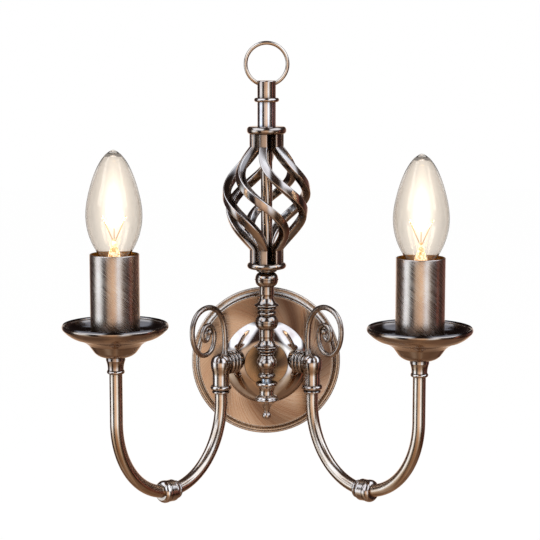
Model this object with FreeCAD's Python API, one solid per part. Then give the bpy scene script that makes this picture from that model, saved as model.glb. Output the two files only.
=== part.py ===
import FreeCAD, Part
import math
import os

from FreeCAD import Vector

# Double arm wall sconce, millimetres.
# Origin: centre of the backplate on the wall plane. +Z up, the lamp faces -Y.

# ---- wall side -------------------------------------------------------------
plate_radius = 50.0
plate_sheet = 1.2
plate_height = 6.3        # wall to the flat middle of the plate
plate_edge_height = 5.7   # wall to the brushed face at its outer edge
plate_flat_radius = 30.0  # inside this radius the face is flat
plate_hole_radius = 20.0  # wiring opening under the dome
rim_bead_width = 1.6
rim_bead_base = 2.2
groove_width = 0.8
groove_height = 1.9
cove_width = 2.3          # hollow band from the groove up to the face
cove_depth = 0.7
face_edge_width = 0.9

dome_radius = 28.2
dome_height = 7.0
dome_bulge = 1.4
dome_sheet = 1.2
dome_flat_radius = 14.6
cap_disc_thickness = 1.0
cap_disc_rounding = 0.4

bar_length = 76.0
bar_width = 14.0
bar_sheet = 1.5
bar_slot_spacing = 60.0   # the usual spacing of a round wall box
bar_slot_width = 4.4
bar_slot_length = 10.0
bar_tab_width = 18.0
bar_tab_drop = 12.5       # the tab reaches this far below the bar

stud_radius = 3.0
stud_wall_gap = 0.5       # stud end to the wall plane
nut_width = 10.0          # across flats
nut_height = 3.2
sleeve_nut_radius = 4.6

block_width = 15.0
block_length = 9.5
block_height = 6.5
block_bar_gap = 1.5       # block to the bar's lower edge
terminal_pitch = 7.5
terminal_radius = 1.6
terminal_bore_radius = 1.1
terminal_screw_radius = 1.1
terminal_level = 3.0      # terminal axis above the bar's face

earth_screw_offset = 16.0
earth_screw_radius = 1.6
earth_head_radius = 3.0
earth_head_height = 2.0
screw_slot_width = 0.7
screw_slot_depth = 0.8

# ---- column ----------------------------------------------------------------
column_distance = 34.0    # wall to the column's axis
stud_level = 3.0          # wall stud above the origin
vase_height = 14.2
vase_below_stud = 5.2     # stud axis above the vase's lower end
vase_radius = 6.6
vase_middle = 6.5         # level of the vase's widest place, above its lower end
vase_half = 3.5           # its rounded part reaches this far either way
vase_foot_radius = 4.4
vase_ring_height = 3.6
vase_ring_radius = 5.7
finial_gap = 2.6          # length of the bright stud between ring and finial
finial_stud_radius = 3.45
finial_thread_radius = 2.5
finial_thread_length = 4.5
finial_height = 25.3
finial_top_radius = 7.2
finial_waist_radius = 4.8
finial_waist_low = 17.0   # levels above the finial's lower end
finial_waist_high = 18.6
finial_band_radius = 8.2
finial_band_low = 13.2
finial_band_height = 1.3
finial_neck_radius = 1.7
finial_ball_radius = 2.9

lower_spindle_height = 26.7
lower_bell_radius = 8.2
upper_spindle_height = 28.2
upper_bell_radius = 8.1
spindle_waist_radius = 4.9
spindle_ball_radius = 7.5
spindle_ball_height = 9.3
spindle_bead_radius = 6.3
spindle_bead_height = 2.3
spindle_bead_step = 0.4   # bead to the bell's lip
upper_spindle_step = 0.8  # plain foot under the upper spindle's bead
vase_rim_radius = 5.2
neck_disc_radius = 6.8
neck_disc_height = 2.0
ball_line = 0.35          # how far the turned line stands out from each ball
tie_rod_radius = 2.0
tie_rod_vase_depth = 4.0

bottom_collar_height = 4.0
top_collar_height = 4.8
collar_radius = 12.75
core_radius = 3.7
upper_rod_height = 15.7
upper_rod_radius = 5.95
ferrule_collar_height = 2.7
ferrule_collar_radius = 8.1
ferrule_height = 11.0
ring_wire_radius = 1.25
ring_radius = 13.45       # centreline of the top ring
ring_sink = 2.9           # ring's lowest centreline below the ferrule's top

# ---- twisted basket --------------------------------------------------------
bar_count = 6
bar_side = 5.3
basket_end_radius = 8.3   # bar centre to the axis where the bars run straight
basket_swell = 18.0       # how much further out the bars stand at the middle
basket_height = 83.5
basket_straight_top = 9.0
basket_straight_bottom = 9.5
basket_twist = 120.0      # degrees that each bar turns on its way down
basket_phase = -72.0      # first bar's place at the top, measured from the front
basket_sections = 15

# ---- arms ------------------------------------------------------------------
arm_angle = 45.0          # each arm's plane against the wall's normal
arm_offset = 30.2         # sideways from the middle to the acorn's axis
arm_distance = 23.0       # wall to the acorn's axis
arm_level = 1.6           # height of the boss's axis
arm_span = 91.4           # acorn's axis to the lamp's axis
arm_tube_radius = 4.1
arm_tube_wall = 1.0
arm_bend_level = -23.5    # where the straight legs end
arm_bend_depth = 52.0
arm_wire_radius = 1.6
arm_wire_bend = 3.5
wire_bore_radius = 2.5
cross_bore_radius = 2.2   # bore from the boss into the acorn

boss_radius = 7.6
boss_groove = 1.3
boss_rib_pitch = 3.0
boss_rib_count = 3
boss_reach = 13.7         # acorn's axis to the inner face of the ribs
boss_neck_radius = 4.4

acorn_bottom = -18.0
acorn_ring_radius = 5.0
acorn_ring_height = 1.9
acorn_flange_level = -15.5
acorn_flange_height = 2.9
acorn_flange_radius = 7.1
acorn_waist_radius = 5.5
acorn_waist_level = -6.0   # top of the straight waist
acorn_swell_radius = 6.0
acorn_swell_level = -3.0
acorn_radius = 6.8
acorn_widest_level = 2.1
acorn_top = 8.9
acorn_tip_radius = 2.9
acorn_tip_height = 0.9
arm_tube_insert = 6.0     # tube end above the acorn's lower face

scroll_offset = 3.4       # stem's axis from the acorn's, towards the wall
scroll_wire_radius = 1.8
scroll_tip_radius = 1.4
scroll_ball_radius = 1.75
scroll_foot_radius = 3.2
scroll_foot_level = 12.0
scroll_stem_top = 28.0
scroll_outer_radius = 15.0
scroll_turn_radius = 18.0
scroll_turn_angle = 50.0
scroll_heel_radius = 8.0
scroll_inner_straight = 5.0
scroll_inner_radius = 5.6
scroll_curl_radius = 4.2
scroll_curl_angle = 60.0

knuckle_offset = 1.6      # outwards from the lowest point of the arm
knuckle_length = 14.4
knuckle_bead_radius = 5.9
knuckle_bead_width = 2.4
knuckle_body_radius = 7.0
knuckle_mouth_radius = 7.3
knuckle_end_length = 3.4  # rounded end that closes onto the tube

# ---- lamps -----------------------------------------------------------------
lamp_level = 18.8         # seat of the left drip pan
right_lamp_drop = 2.6     # the right lamp stands this much lower
ferrule_length = 10.6
lamp_ferrule_radius = 6.05
lamp_ferrule_neck = 5.0
lamp_bead_radius = 5.6
lamp_bead_height = 2.5
ferrule_tube_depth = 5.0
nipple_radius = 4.0
nipple_bore_radius = 2.6
nipple_top = 16.0         # above the seat

pan_radius = 33.2
pan_depth = 20.9
pan_sheet = 1.0
pan_floor_radius = 6.3
pan_cup_radius = 13.4
pan_cup_height = 3.4
pan_shoulder_radius = 16.7
pan_shoulder_height = 8.0
pan_flare_radius = 26.0
pan_flare_height = 12.6
pan_lip_height = 3.5      # rolled edge
pan_lip_width = 2.0
pan_nut_width = 10.0
pan_nut_height = 3.0

holder_bottom = 12.0      # above the seat
holder_height = 44.8
holder_base_radius = 8.0
holder_base_height = 11.0
socket_floor = 28.3       # above the seat
contact_height = 1.8
contact_radius = 2.6

sleeve_radius = 15.4
sleeve_wall = 1.0
sleeve_top = 64.7         # above the seat
sleeve_lip = 0.5

bulb_radius = 17.5
bulb_length = 98.0
bulb_base_level = 31.1    # lowest point of the bulb above the seat
bulb_glass_wall = 0.8
bulb_neck_radius = 6.6
cap_radius = 6.7
cap_height = 23.0
cap_button_radius = 2.4
cap_button_height = 1.6
cap_cone_height = 3.4
cap_thread_depth = 0.45
cap_thread_pitch = 2.8
cap_thread_count = 4
stem_height = 20.0        # glass stem above the cap
stem_shoulder_height = 10.5
stem_base_radius = 4.4
stem_shoulder_radius = 4.1
stem_radius = 1.1
lead_radius = 0.35
lead_spread = 7.4
filament_level = 57.0     # the filament's two ends, above the bulb's lowest point
filament_sag = 6.5
filament_radius = 0.6

# ---- clearances ------------------------------------------------------------
fit = 0.05                # a pin or rod in its hole
socket_gap = 0.35         # bulb cap to the socket's wall
holder_gap = 0.5          # lampholder to the sleeve
seat_gap = 0.3

origin = Vector(0, 0, 0)
up = Vector(0, 0, 1)


# ---- outlines and turning --------------------------------------------------
def outline(points):
    """Closed face in the XZ plane. (r, z) is a straight stretch to that point,
    (mid r, mid z, r, z) an arc through the first pair to the second."""
    edges = []
    here = Vector(points[0][0], 0, points[0][1])
    start = here
    for point in points[1:]:
        there = Vector(point[-2], 0, point[-1])
        if len(point) == 4:
            middle = Vector(point[0], 0, point[1])
            edges.append(Part.Arc(here, middle, there).toShape())
        elif here.distanceToPoint(there) > 1e-6:
            edges.append(Part.makeLine(here, there))
        here = there
    if here.distanceToPoint(start) > 1e-6:
        edges.append(Part.makeLine(here, start))
    return Part.Face(Part.Wire(edges))


def turned(points):
    return outline(points).revolve(origin, up, 360)


def raised(points, level):
    return [tuple(v + (level if i % 2 else 0) for i, v in enumerate(p)) for p in points]


def bead(radius, low, high):
    half = (high - low) / 2
    return [(radius - half, low), (radius, low + half, radius - half, high)]


def rod(radius, low, high, x=0.0, y=0.0):
    return Part.makeCylinder(radius, high - low, Vector(x, y, low))


def tube(radius, bore, low, high):
    return rod(radius, low, high).cut(rod(bore, low - 1, high + 1))


def hexagon(width, low, high, hole):
    corner = width / math.sqrt(3)
    turns = [math.radians(60 * i) for i in range(7)]
    points = [Vector(corner * math.cos(a), corner * math.sin(a), low) for a in turns]
    nut = Part.Face(Part.makePolygon(points)).extrude(up * (high - low))
    chamfer = (corner - width / 2) * 0.8
    rim = [(0, low), (width / 2, low), (corner, low + chamfer),
           (corner, high - chamfer), (width / 2, high), (0, high)]
    return nut.common(turned(rim)).cut(rod(hole, low - 1, high + 1))


def moved(shape, x=0.0, y=0.0, z=0.0):
    copy = shape.copy()
    copy.translate(Vector(x, y, z))
    return copy


def rotated(shape, axis, angle, centre=origin):
    copy = shape.copy()
    copy.rotate(centre, axis, angle)
    return copy


def out_of_wall(shape):
    # local +Z becomes -Y, away from the wall
    return rotated(shape, Vector(1, 0, 0), 90)


def along_span(shape):
    # local +Z becomes +X, the outward direction of an arm's plane
    return rotated(shape, Vector(0, 1, 0), 90)


def swept(path, radius, end_radius=None):
    start = path.OrderedEdges[0]
    tangent = start.tangentAt(start.FirstParameter)
    first = Part.Wire(Part.makeCircle(radius, start.valueAt(start.FirstParameter), tangent))
    profiles = [first]
    if end_radius:
        end = path.OrderedEdges[-1]
        tangent = end.tangentAt(end.LastParameter)
        last = Part.makeCircle(end_radius, end.valueAt(end.LastParameter), tangent)
        profiles.append(Part.Wire(last))
    return path.makePipeShell(profiles, True, False)


def at_column(shape):
    return moved(shape, y=-column_distance)


# ---- wall side -------------------------------------------------------------
def dome_arc(radius, height, flat, low):
    # the dome's slope: a shallow arc from its foot to its flat middle
    chord = math.hypot(radius - flat, height)
    mid_radius = (radius + flat) / 2 + dome_bulge * height / chord
    mid_height = low + height / 2 + dome_bulge * (radius - flat) / chord
    return [(radius, low), (mid_radius, mid_height, flat, low + height)]


def dome_solid():
    shape = dome_arc(dome_radius, dome_height, dome_flat_radius, plate_height)
    return turned([(0, plate_height)] + shape + [(0, plate_height + dome_height)])


def cove(outer, inner, low, high, depth):
    # a hollow band; the arc's middle lies this deep under the straight line
    chord = math.hypot(outer - inner, high - low)
    return [(outer, low),
            ((outer + inner) / 2 - depth * (high - low) / chord,
             (low + high) / 2 - depth * (outer - inner) / chord, inner, high)]


def backplate():
    bead_inner = plate_radius - rim_bead_width
    groove_inner = bead_inner - groove_width
    cove_inner = groove_inner - cove_width
    cove_top = plate_edge_height - 0.4
    inside = cove(groove_inner - plate_sheet * 0.7, cove_inner - plate_sheet,
                  groove_height - plate_sheet, plate_edge_height - plate_sheet, cove_depth)
    low, (mid_radius, mid_height, top_radius, top) = inside
    return out_of_wall(turned([
        (plate_radius - plate_sheet, 0),
        (plate_radius, 0),
        (plate_radius, rim_bead_base),
        (plate_radius - rim_bead_width / 2, rim_bead_base + rim_bead_width / 2,
         bead_inner, rim_bead_base),
        (bead_inner, groove_height)]
        + cove(groove_inner, cove_inner, groove_height, cove_top, cove_depth)
        + [(cove_inner - face_edge_width / 2, plate_edge_height + 0.2,
            cove_inner - face_edge_width, plate_edge_height),
           (plate_flat_radius, plate_height),
           (plate_hole_radius, plate_height),
           (plate_hole_radius, plate_height - plate_sheet),
           (plate_flat_radius, plate_height - plate_sheet),
           (top_radius, top),
           (mid_radius, mid_height) + low,
           (plate_radius - plate_sheet, low[1])]))


def dome_cup(wire_bores):
    inner = dome_arc(dome_radius - dome_sheet, dome_height - dome_sheet,
                     dome_flat_radius, plate_height)
    hollow = turned([(0, plate_height)] + inner
                    + [(0, plate_height + dome_height - dome_sheet)])
    shell = out_of_wall(dome_solid().cut(hollow).cut(at_stud(stud_radius + fit)))
    for bore in wire_bores:
        shell = shell.cut(bore)
    return shell


def at_stud(radius):
    return rod(radius, 0, column_distance, y=stud_level)


def dome_cap():
    low = plate_height + dome_height
    high = low + cap_disc_thickness
    edge = dome_flat_radius
    disc = turned([
        (0, low), (edge, low), (edge, high - cap_disc_rounding),
        (edge - cap_disc_rounding * 0.3, high - cap_disc_rounding * 0.3,
         edge - cap_disc_rounding, high),
        (0, high)])
    return out_of_wall(disc.cut(at_stud(stud_radius + fit)))


def wall_bar():
    half = bar_length / 2
    bar = Part.makeBox(bar_length, bar_width, bar_sheet, Vector(-half, -bar_width / 2, 0))
    bar = bar.common(rod(half, 0, bar_sheet))
    tab_bottom = -bar_width / 2 - bar_tab_drop
    tab = Part.makeBox(bar_tab_width, bar_tab_drop + 1, bar_sheet,
                       Vector(-bar_tab_width / 2, tab_bottom, 0))
    bar = bar.fuse(tab).removeSplitter()
    straight = bar_slot_length - bar_slot_width
    for side in (-1, 1):
        centre = side * bar_slot_spacing / 2
        for end in (-1, 1):
            bar = bar.cut(rod(bar_slot_width / 2, -1, bar_sheet + 1, x=centre + end * straight / 2))
        bar = bar.cut(Part.makeBox(straight, bar_slot_width, bar_sheet + 2,
                                   Vector(centre - straight / 2, -bar_slot_width / 2, -1)))
    bar = bar.cut(at_stud(stud_radius + fit))
    bar = bar.cut(rod(earth_screw_radius + fit, -1, bar_sheet + 1, x=earth_screw_offset))
    return out_of_wall(bar)


def wall_stud():
    return out_of_wall(rod(stud_radius, stud_wall_gap, column_distance - tie_rod_radius - fit,
                           y=stud_level))


def bar_nut():
    nut = hexagon(nut_width, bar_sheet, bar_sheet + nut_height, stud_radius + fit)
    return out_of_wall(moved(nut, y=stud_level))


def sleeve_nut(vase):
    low = plate_height + dome_height + cap_disc_thickness
    barrel = tube(sleeve_nut_radius, stud_radius + fit, low, column_distance - vase_radius + 1.5)
    return out_of_wall(moved(barrel, y=stud_level)).cut(vase)


def block_top():
    return -bar_width / 2 - block_bar_gap


def terminal_places():
    return [-terminal_pitch / 2, terminal_pitch / 2]


def terminal_block():
    low = bar_sheet
    block = Part.makeBox(block_width, block_length, block_height,
                         Vector(-block_width / 2, block_top() - block_length, low))
    notch = Part.makeBox(1.6, block_length + 2, block_height / 2,
                         Vector(-0.8, block_top() - block_length - 1, low + block_height * 0.6))
    block = block.cut(notch)
    for x in terminal_places():
        bore = Part.makeCylinder(terminal_radius + fit, block_length + 2,
                                 Vector(x, block_top() - block_length - 1, low + terminal_level),
                                 Vector(0, 1, 0))
        block = block.cut(bore)
        for y in screw_places():
            block = block.cut(rod(terminal_screw_radius + seat_gap, low + terminal_level,
                                  low + block_height + 1, x, y))
    return out_of_wall(block)


def screw_places():
    return [block_top() - block_length * 0.25, block_top() - block_length * 0.75]


def terminal_inserts():
    inserts = []
    for x in terminal_places():
        start = Vector(x, block_top() - block_length + 0.4, bar_sheet + terminal_level)
        outer = Part.makeCylinder(terminal_radius, block_length - 0.8, start, Vector(0, 1, 0))
        bore = Part.makeCylinder(terminal_bore_radius, block_length, start, Vector(0, 1, 0))
        insert = outer.cut(bore)
        for y in screw_places():
            insert = insert.cut(rod(terminal_screw_radius + fit, bar_sheet + terminal_level,
                                    bar_sheet + block_height, x, y))
        inserts.append(insert)
    return out_of_wall(Part.makeCompound(inserts))


def terminal_screws():
    screws = []
    low = bar_sheet + terminal_level + terminal_bore_radius * 0.5
    high = bar_sheet + block_height - 0.4
    for x in terminal_places():
        for y in screw_places():
            screw = rod(terminal_screw_radius, low, high, x, y)
            slot = Part.makeBox(3, screw_slot_width, 1,
                                Vector(x - 1.5, y - screw_slot_width / 2, high - 0.5))
            screws.append(screw.cut(slot))
    return out_of_wall(Part.makeCompound(screws))


def earth_screw():
    high = bar_sheet + earth_head_height
    screw = rod(earth_screw_radius, 0.1, bar_sheet).fuse(rod(earth_head_radius, bar_sheet, high))
    slot = Part.makeBox(earth_head_radius * 3, screw_slot_width, screw_slot_depth + 1,
                        Vector(-earth_head_radius * 1.5, -screw_slot_width / 2,
                               high - screw_slot_depth))
    return out_of_wall(moved(screw.cut(slot), x=earth_screw_offset))


# ---- column ----------------------------------------------------------------
vase_base = stud_level - vase_below_stud
vase_top = vase_base + vase_height
lower_top = vase_top + lower_spindle_height
upper_top = lower_top + upper_spindle_height
bottom_collar_top = upper_top + bottom_collar_height
basket_top = bottom_collar_top + basket_height
top_collar_top = basket_top + top_collar_height
upper_rod_top = top_collar_top + upper_rod_height
ferrule_base = upper_rod_top + ferrule_collar_height
ferrule_top = ferrule_base + ferrule_height
ring_base = vase_base - vase_ring_height
finial_top = ring_base - finial_gap


def vase_outline():
    groove = vase_height - 2.2
    return raised([
        (0, 0), (vase_foot_radius, 0), (vase_foot_radius, 0.6),
        (vase_radius - 1.2, vase_middle - vase_half),
        (vase_radius + 0.3, vase_middle, vase_radius - 1.2, vase_middle + vase_half),
        (vase_rim_radius - 0.6, groove - 0.3),
        (vase_rim_radius - 0.9, groove)]
        + bead(vase_rim_radius, groove, vase_height - 0.4)
        + [(vase_rim_radius - 0.7, vase_height), (0, vase_height)], vase_base)


def vase():
    body = turned(vase_outline())
    body = body.cut(rod(tie_rod_radius + fit, vase_top - tie_rod_vase_depth, vase_top + 1))
    body = body.cut(rod(finial_thread_radius + fit, vase_base - 1,
                        vase_base + finial_thread_length - vase_ring_height + 0.5))
    stud_hole = moved(out_of_wall(rod(stud_radius + fit, 0, column_distance - tie_rod_radius,
                                      y=stud_level)), y=column_distance)
    return at_column(body.cut(stud_hole))


def vase_ring():
    half = vase_ring_height / 2
    ring = turned([(0, ring_base)] + bead(vase_ring_radius, ring_base, ring_base + 2 * half)
                  + [(0, ring_base + 2 * half)])
    return at_column(ring.cut(rod(finial_thread_radius + fit, ring_base - 1, vase_base + 1)))


def finial_stud():
    high = ring_base
    thread_top = vase_base + finial_thread_length - vase_ring_height
    body = rod(finial_stud_radius, finial_top, high)
    body = body.fuse(rod(finial_thread_radius, high, thread_top))
    body = body.fuse(rod(finial_thread_radius, finial_top - finial_thread_length, finial_top))
    return at_column(body.removeSplitter())


def finial():
    bottom = finial_top - finial_height
    ball = 2 * finial_ball_radius - 0.5
    edge = finial_band_radius - 0.5
    band_high = finial_band_low + finial_band_height
    lip = finial_height - 2.2
    body = turned(raised([
        (0, 0),
        (finial_ball_radius, finial_ball_radius, finial_neck_radius, ball),
        (finial_neck_radius, ball + 0.4),
        (finial_neck_radius + 2.0, ball + 5.0, edge, finial_band_low),
        (finial_band_radius, finial_band_low + finial_band_height / 2, edge, band_high),
        (finial_waist_radius + 2.2, finial_waist_low - 1.2,
         finial_waist_radius + 0.8, finial_waist_low - 0.5),
        (finial_waist_radius, finial_waist_low),
        (finial_waist_radius, finial_waist_high),
        (finial_waist_radius + 0.5, finial_waist_high + 2.8, finial_top_radius - 0.6, lip),
        (finial_top_radius, lip + 1.1, finial_top_radius - 0.4, finial_height),
        (0, finial_height)], bottom))
    hole = rod(finial_thread_radius + fit, finial_top - finial_thread_length - 0.5, finial_top + 1)
    return at_column(body.cut(hole))


def ball_outline(low, high, foot, head):
    # a turned ball with a fine raised line round its widest place
    middle = (low + high) / 2
    edge = spindle_ball_radius - 0.05
    slope = 0.8 * spindle_ball_radius + 0.2 * foot
    head_slope = 0.8 * spindle_ball_radius + 0.2 * head
    return [
        (foot, low),
        (slope, low + (middle - low) * 0.42, edge, middle - ball_line),
        (edge + ball_line, middle - ball_line / 3),
        (edge + ball_line, middle + ball_line / 3),
        (edge, middle + ball_line),
        (head_slope, high - (high - middle) * 0.42, head, high)]


def bell_outline(bell_radius, bell_level, ball_low):
    # the flared flange under a slim waist that runs up into the ball
    waist_level = (bell_level + ball_low) / 2 + 1.5
    return [
        (bell_radius - 0.5, bell_level),
        (bell_radius, bell_level + 0.6, bell_radius - 0.5, bell_level + 1.1),
        (spindle_waist_radius + 0.7, bell_level + 2.9, spindle_waist_radius, waist_level)]


def lower_spindle():
    top_bead = lower_spindle_height - spindle_bead_height
    ball_high = top_bead - 0.3
    ball_low = ball_high - spindle_ball_height
    lip = spindle_bead_height + spindle_bead_step
    points = ([(0, 0)] + bead(spindle_bead_radius, 0, spindle_bead_height)
              + [(spindle_bead_radius - 1.2, lip)]
              + bell_outline(lower_bell_radius, lip, ball_low)
              + ball_outline(ball_low, ball_high, spindle_waist_radius, spindle_waist_radius + 0.3)
              + [(spindle_waist_radius + 0.3, top_bead)]
              + bead(spindle_bead_radius, top_bead, lower_spindle_height)
              + [(0, lower_spindle_height)])
    body = turned(raised(points, vase_top))
    return at_column(body.cut(rod(tie_rod_radius + fit, vase_top - 1, lower_top + 1)))


def upper_spindle():
    ball_high = upper_spindle_height - neck_disc_height - 0.4
    ball_low = ball_high - spindle_ball_height
    low = upper_spindle_step
    lip = low + spindle_bead_height + spindle_bead_step
    points = ([(0, 0), (spindle_bead_radius - 1.2, 0), (spindle_bead_radius - 1.2, low)]
              + bead(spindle_bead_radius + 0.2, low, low + spindle_bead_height)
              + [(spindle_bead_radius - 1.2, lip)]
              + bell_outline(upper_bell_radius, lip, ball_low)
              + ball_outline(ball_low, ball_high, spindle_waist_radius, spindle_waist_radius)
              + [(spindle_waist_radius, upper_spindle_height - neck_disc_height)]
              + bead(neck_disc_radius, upper_spindle_height - neck_disc_height,
                     upper_spindle_height)
              + [(0, upper_spindle_height)])
    body = turned(raised(points, lower_top))
    return at_column(body.cut(rod(tie_rod_radius + fit, lower_top - 1, upper_top + 1)))


def tie_rod():
    return at_column(rod(tie_rod_radius, vase_top - tie_rod_vase_depth + 0.5,
                         bottom_collar_top - seat_gap))


def collar(radius, low, high, hole):
    half = (high - low) / 2
    round_off = min(half, 2.0)
    ring = turned([
        (0, low), (radius - round_off, low),
        (radius - round_off * 0.3, low + round_off * 0.3, radius, low + round_off),
        (radius, high - round_off),
        (radius - round_off * 0.3, high - round_off * 0.3, radius - round_off, high),
        (0, high)])
    return ring.cut(rod(hole, low - 1, high + 1)) if hole else ring


def basket_point(bar, share):
    # share runs from 0 at the top of the swell to 1 at its foot
    turn = basket_twist * (3 * share ** 2 - 2 * share ** 3)
    angle = math.radians(basket_phase + 360.0 / bar_count * bar + turn)
    radius = basket_end_radius + basket_swell * math.sin(math.pi * share)
    swell_top = basket_top - basket_straight_top
    swell_foot = bottom_collar_top + basket_straight_bottom
    level = swell_top - (swell_top - swell_foot) * share
    outward = Vector(math.sin(angle), -math.cos(angle), 0)
    return outward * radius + up * level, outward


def bar_section(place, outward, tangent):
    # a square across the bar, one side facing away from the column's axis
    facing = outward - tangent * outward.dot(tangent)
    facing.normalize()
    across = tangent.cross(facing)
    half = bar_side / 2
    corners = [(half, half), (half, -half), (-half, -half), (-half, half), (half, half)]
    return Part.makePolygon([place + facing * a + across * b for a, b in corners])


def basket_bar(bar):
    step = 1e-3
    sections = []
    for i in range(basket_sections):
        share = i / (basket_sections - 1)
        place, outward = basket_point(bar, share)
        ahead = basket_point(bar, min(share + step, 1.0))[0]
        behind = basket_point(bar, max(share - step, 0.0))[0]
        tangent = ahead - behind
        tangent.normalize()
        if i in (0, basket_sections - 1):
            tangent = -up
        sections.append(bar_section(place, outward, tangent))
    swell = Part.makeLoft(sections, True, False)
    top_place, top_outward = basket_point(bar, 0.0)
    foot_place, foot_outward = basket_point(bar, 1.0)
    top = Part.Face(bar_section(top_place, top_outward, -up)).extrude(up * basket_straight_top)
    foot = Part.Face(bar_section(foot_place, foot_outward, -up))
    foot = foot.extrude(-up * basket_straight_bottom)
    return at_column(swell.fuse([top, foot]))


def top_ring():
    centre = ferrule_top - ring_sink + ring_radius
    return at_column(Part.makeTorus(ring_radius, ring_wire_radius,
                                    Vector(0, 0, centre), Vector(0, 1, 0)))


def ring_ferrule():
    body = turned([
        (0, ferrule_base), (upper_rod_radius, ferrule_base),
        (upper_rod_radius, ferrule_top - 0.8),
        (upper_rod_radius - 0.2, ferrule_top - 0.2, upper_rod_radius - 0.8, ferrule_top),
        (0, ferrule_top)])
    return at_column(body).cut(top_ring())


# ---- arms, drawn in the plane of the right arm -----------------------------
# local X runs outwards from the acorn's axis, local Z is up
def arm_placed(shape, side):
    placed = rotated(shape, up, -arm_angle)
    placed = moved(placed, arm_offset, -arm_distance)
    if side < 0:
        placed = placed.mirror(origin, Vector(1, 0, 0))
    return placed


def boss_axis_rod(radius, low, high):
    return moved(along_span(rod(radius, low, high)), z=arm_level)


def cap_arc(radius, height, top):
    # a low spherical cap whose centre lies on the axis
    sphere = (radius * radius + height * height) / (2 * height)
    half_angle = math.asin(radius / sphere) / 2
    return (sphere * math.sin(half_angle), top - sphere * (1 - math.cos(half_angle)), 0, top)


def acorn_solid():
    flange_top = acorn_flange_level + acorn_flange_height
    return turned(
        [(0, acorn_bottom)]
        + bead(acorn_ring_radius + 0.95, acorn_bottom, acorn_bottom + acorn_ring_height)
        + [(acorn_ring_radius - 0.4, acorn_bottom + acorn_ring_height),
           (acorn_ring_radius - 0.4, acorn_flange_level)]
        + bead(acorn_flange_radius, acorn_flange_level, flange_top)
        + [(acorn_waist_radius, flange_top),
           (acorn_waist_radius, acorn_waist_level),
           (acorn_waist_radius + 0.13, acorn_waist_level + 1.45,
            acorn_swell_radius, acorn_swell_level),
           (acorn_radius - 0.23, acorn_swell_level + 2.3, acorn_radius, acorn_widest_level),
           (acorn_radius * 0.86, acorn_widest_level + 3.4,
            acorn_tip_radius, acorn_top - acorn_tip_height),
           cap_arc(acorn_tip_radius, acorn_tip_height, acorn_top)])


def acorn():
    body = acorn_solid()
    tube_top = acorn_bottom + arm_tube_insert
    body = body.cut(rod(arm_tube_radius, acorn_bottom - 1, tube_top))
    body = body.cut(rod(wire_bore_radius, tube_top - 1, arm_level + wire_bore_radius))
    return body.cut(boss_axis_rod(cross_bore_radius, -acorn_radius * 2, 0))


def arm_boss(dome, scroll_shape):
    ribs = []
    inner = boss_reach - boss_rib_count * boss_rib_pitch
    for rib in range(boss_rib_count):
        low = inner + rib * boss_rib_pitch
        ribs += bead(boss_radius, low, low + boss_rib_pitch - 0.15)
        ribs.append((boss_radius - boss_groove - 0.4, low + boss_rib_pitch - 0.1))
    reach = math.hypot(arm_offset, arm_distance)
    points = ([(0, 0), (boss_radius - boss_groove, 0), (boss_radius - boss_groove, inner - 0.1)]
              + ribs + [(boss_neck_radius, boss_reach + 1.0), (boss_neck_radius, reach),
                        (0, reach)])
    body = rotated(turned(points), Vector(0, 1, 0), -90)
    body = moved(body, z=arm_level).cut([acorn_solid(), scroll_shape])
    body = body.cut(boss_axis_rod(wire_bore_radius, -reach - 1, 1))
    placed = arm_placed(body, 1).cut(dome)
    return max(placed.Solids, key=lambda piece: piece.Volume)


def wire_bore(side):
    return arm_placed(boss_axis_rod(wire_bore_radius, -40, -8), side)


def turn_arc(place, heading, radius, angle):
    # an arc that turns clockwise in the arm's plane; headings in degrees
    def on_arc(swing):
        a = math.radians(heading - swing)
        return centre + Vector(-math.sin(a), 0, math.cos(a)) * radius
    h = math.radians(heading)
    centre = place + Vector(math.sin(h), 0, -math.cos(h)) * radius
    end = on_arc(angle)
    return Part.Arc(place, on_arc(angle / 2), end).toShape(), end, heading - angle


def scroll():
    place = Vector(-scroll_offset, 0, acorn_widest_level)
    stem_end = Vector(-scroll_offset, 0, scroll_stem_top)
    edges = [Part.makeLine(place, stem_end)]
    place = stem_end
    heading = 90.0
    heel_angle = 180.0 - scroll_turn_angle
    bends = [(scroll_outer_radius, 90.0), (scroll_outer_radius, 90.0),
             (scroll_turn_radius, scroll_turn_angle), (scroll_heel_radius, heel_angle)]
    for radius, angle in bends:
        edge, place, heading = turn_arc(place, heading, radius, angle)
        edges.append(edge)
    inner_end = place + up * scroll_inner_straight
    edges.append(Part.makeLine(place, inner_end))
    place = inner_end
    bends = [(scroll_inner_radius, 90.0), (scroll_inner_radius, 90.0),
             (scroll_curl_radius, scroll_curl_angle)]
    for radius, angle in bends:
        edge, place, heading = turn_arc(place, heading, radius, angle)
        edges.append(edge)
    wire = swept(Part.Wire(edges), scroll_wire_radius, scroll_tip_radius)
    foot = turned([(0, acorn_widest_level), (scroll_foot_radius, acorn_widest_level),
                   (scroll_foot_radius, scroll_foot_level - 5.0),
                   (scroll_wire_radius + 0.5, scroll_foot_level - 2.4,
                    scroll_wire_radius, scroll_foot_level),
                   (0, scroll_foot_level)])
    foot = moved(foot, x=-scroll_offset)
    tip = Part.makeSphere(scroll_ball_radius, place)
    whole = wire.fuse([foot, tip]).cut(acorn_solid())
    return max(whole.Solids, key=lambda piece: piece.Volume)


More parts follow.
